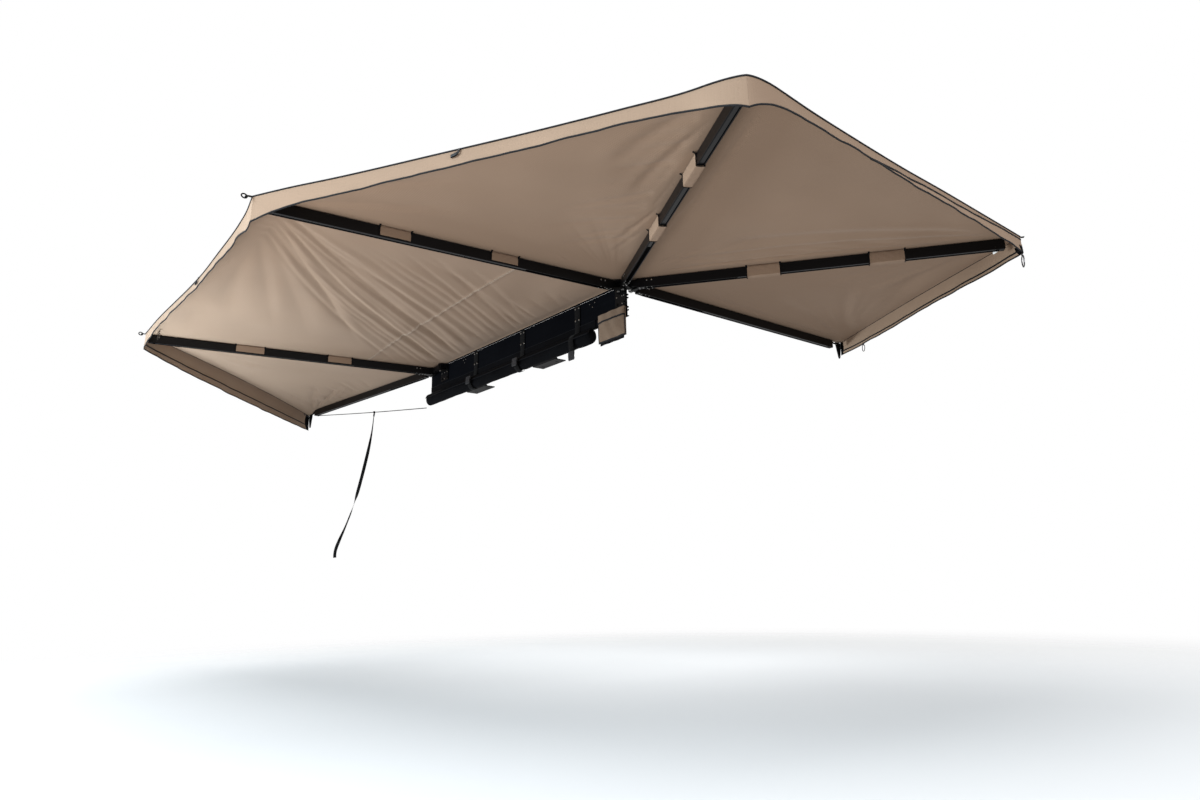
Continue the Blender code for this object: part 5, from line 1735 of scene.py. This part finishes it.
# ------------------------------------------------------------ floor, lights
floor_v, floor_f = [], []
n = 25
for i in range(n):
    for j in range(n):
        floor_v.append((-60 + 120 * i / (n - 1), -60 + 120 * j / (n - 1), FLOOR_Z))
for i in range(n - 1):
    for j in range(n - 1):
        floor_f.append((i * n + j, (i + 1) * n + j, (i + 1) * n + j + 1, i * n + j + 1))
me = bpy.data.meshes.new("studio_floor")
me.from_pydata(floor_v, [], floor_f)
floor = bpy.data.objects.new("studio_floor", me)
bpy.context.scene.collection.objects.link(floor)
mf, nt, bsdf = new_mat("floor_paint")
vec = coords(nt)
col = ramp(nt, noise_tex(nt, vec, 0.6, 2.0, 0.5), [(0.3, (0.68, 0.68, 0.68)), (0.7, (0.70, 0.70, 0.70))])
nt.links.new(col, bsdf.inputs["Base Color"])
bsdf.inputs["Roughness"].default_value = 1.0
bsdf.inputs["Specular IOR Level"].default_value = 0.0
# the floor fades out into the white surroundings a few metres away
pos = coords(nt, (1.0, 1.0, 0.0))
dist = nt.nodes.new("ShaderNodeVectorMath")
dist.operation = 'LENGTH'
nt.links.new(pos, dist.inputs[0])
fade = nt.nodes.new("ShaderNodeMapRange")
fade.interpolation_type = 'SMOOTHSTEP'
for key_, val in (("From Min", 2.4), ("From Max", 6.4), ("To Min", 0.0), ("To Max", 1.0)):
    fade.inputs[key_].default_value = val
nt.links.new(dist.outputs["Value"], fade.inputs["Value"])
clear = nt.nodes.new("ShaderNodeBsdfTransparent")
blend_ = nt.nodes.new("ShaderNodeMixShader")
nt.links.new(fade.outputs["Result"], blend_.inputs["Fac"])
nt.links.new(bsdf.outputs["BSDF"], blend_.inputs[1])
nt.links.new(clear.outputs["BSDF"], blend_.inputs[2])
nt.links.new(blend_.outputs["Shader"], nt.nodes["Material Output"].inputs["Surface"])
me.materials.append(mf)
floor.visible_diffuse = False
floor.visible_glossy = False
floor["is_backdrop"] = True

world = bpy.data.worlds.new("studio_world")
bpy.context.scene.world = world
world.use_nodes = True
wt = world.node_tree
bg = wt.nodes["Background"]
bg.inputs["Color"].default_value = (1.0, 1.0, 1.0, 1.0)
bg.inputs["Strength"].default_value = 0.45
back = wt.nodes.new("ShaderNodeBackground")
back.inputs["Color"].default_value = (1.0, 1.0, 1.0, 1.0)
back.inputs["Strength"].default_value = 1.0
pick = wt.nodes.new("ShaderNodeMixShader")
lp = wt.nodes.new("ShaderNodeLightPath")
wt.links.new(lp.outputs["Is Camera Ray"], pick.inputs["Fac"])
wt.links.new(bg.outputs["Background"], pick.inputs[1])
wt.links.new(back.outputs["Background"], pick.inputs[2])
wt.links.new(pick.outputs["Shader"], wt.nodes["World Output"].inputs["Surface"])
bpy.context.scene.view_settings.view_transform = 'Standard'


def area(name, loc, target, size, power, color=(1.0, 1.0, 1.0)):
    d = bpy.data.lights.new(name, 'AREA')
    d.shape = 'RECTANGLE'
    d.size, d.size_y = size
    d.energy = power
    d.color = color
    o = bpy.data.objects.new(name, d)
    o.location = loc
    o.rotation_mode = 'QUATERNION'
    o.rotation_quaternion = (Vector(target) - Vector(loc)).to_track_quat('-Z', 'Y')
    bpy.context.scene.collection.objects.link(o)
    return o


key = area("key_left", (9.2, 7.6, -1.30), (1.1, 1.1, 0.2), (3.6, 2.6), 2100.0, (0.80, 0.92, 1.0))
key.visible_glossy = False
for name, loc, target, size, power, spread, color in (
        ("low_left", (2.7, 1.4, -1.78), (2.7, 1.401, 0.2), (1.8, 1.8), 16.5, 90.0, (0.74, 0.89, 1.0)),
        ("low_outer", (1.7, 2.5, -1.76), (1.7, 2.501, 0.2), (2.4, 1.2), 45.0, 90.0, (0.74, 0.89, 1.0)),
        ("low_right", (-2.4, -0.8, -1.78), (-2.4, -0.799, 0.2), (2.4, 2.4), 5.5, 120.0, (1.0, 0.95, 0.90)),
        ("low_front", (-1.2, 4.0, -1.78), (-1.2, 4.001, 0.2), (4.4, 3.0), 160.0, 176.0, (0.96, 0.96, 0.96))):
    low = area(name, loc, target, size, power, color)
    low.data.spread = math.radians(spread)
    low.visible_camera = False
    low.visible_glossy = False
area("side_soft", (-1.6, 8.8, 2.1), (0.2, 1.6, 0.2), (6.0, 2.8), 960.0, (0.75, 0.90, 1.0))
area("side_right", (-9.5, -0.5, 0.95), (-1.6, 0.0, 0.24), (4.0, 3.0), 420.0, (0.95, 0.97, 1.0))
area("top_soft", (0.5, 1.0, 6.5), (0.6, 0.4, 0.0), (8.0, 8.0), 640.0)

lo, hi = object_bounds()
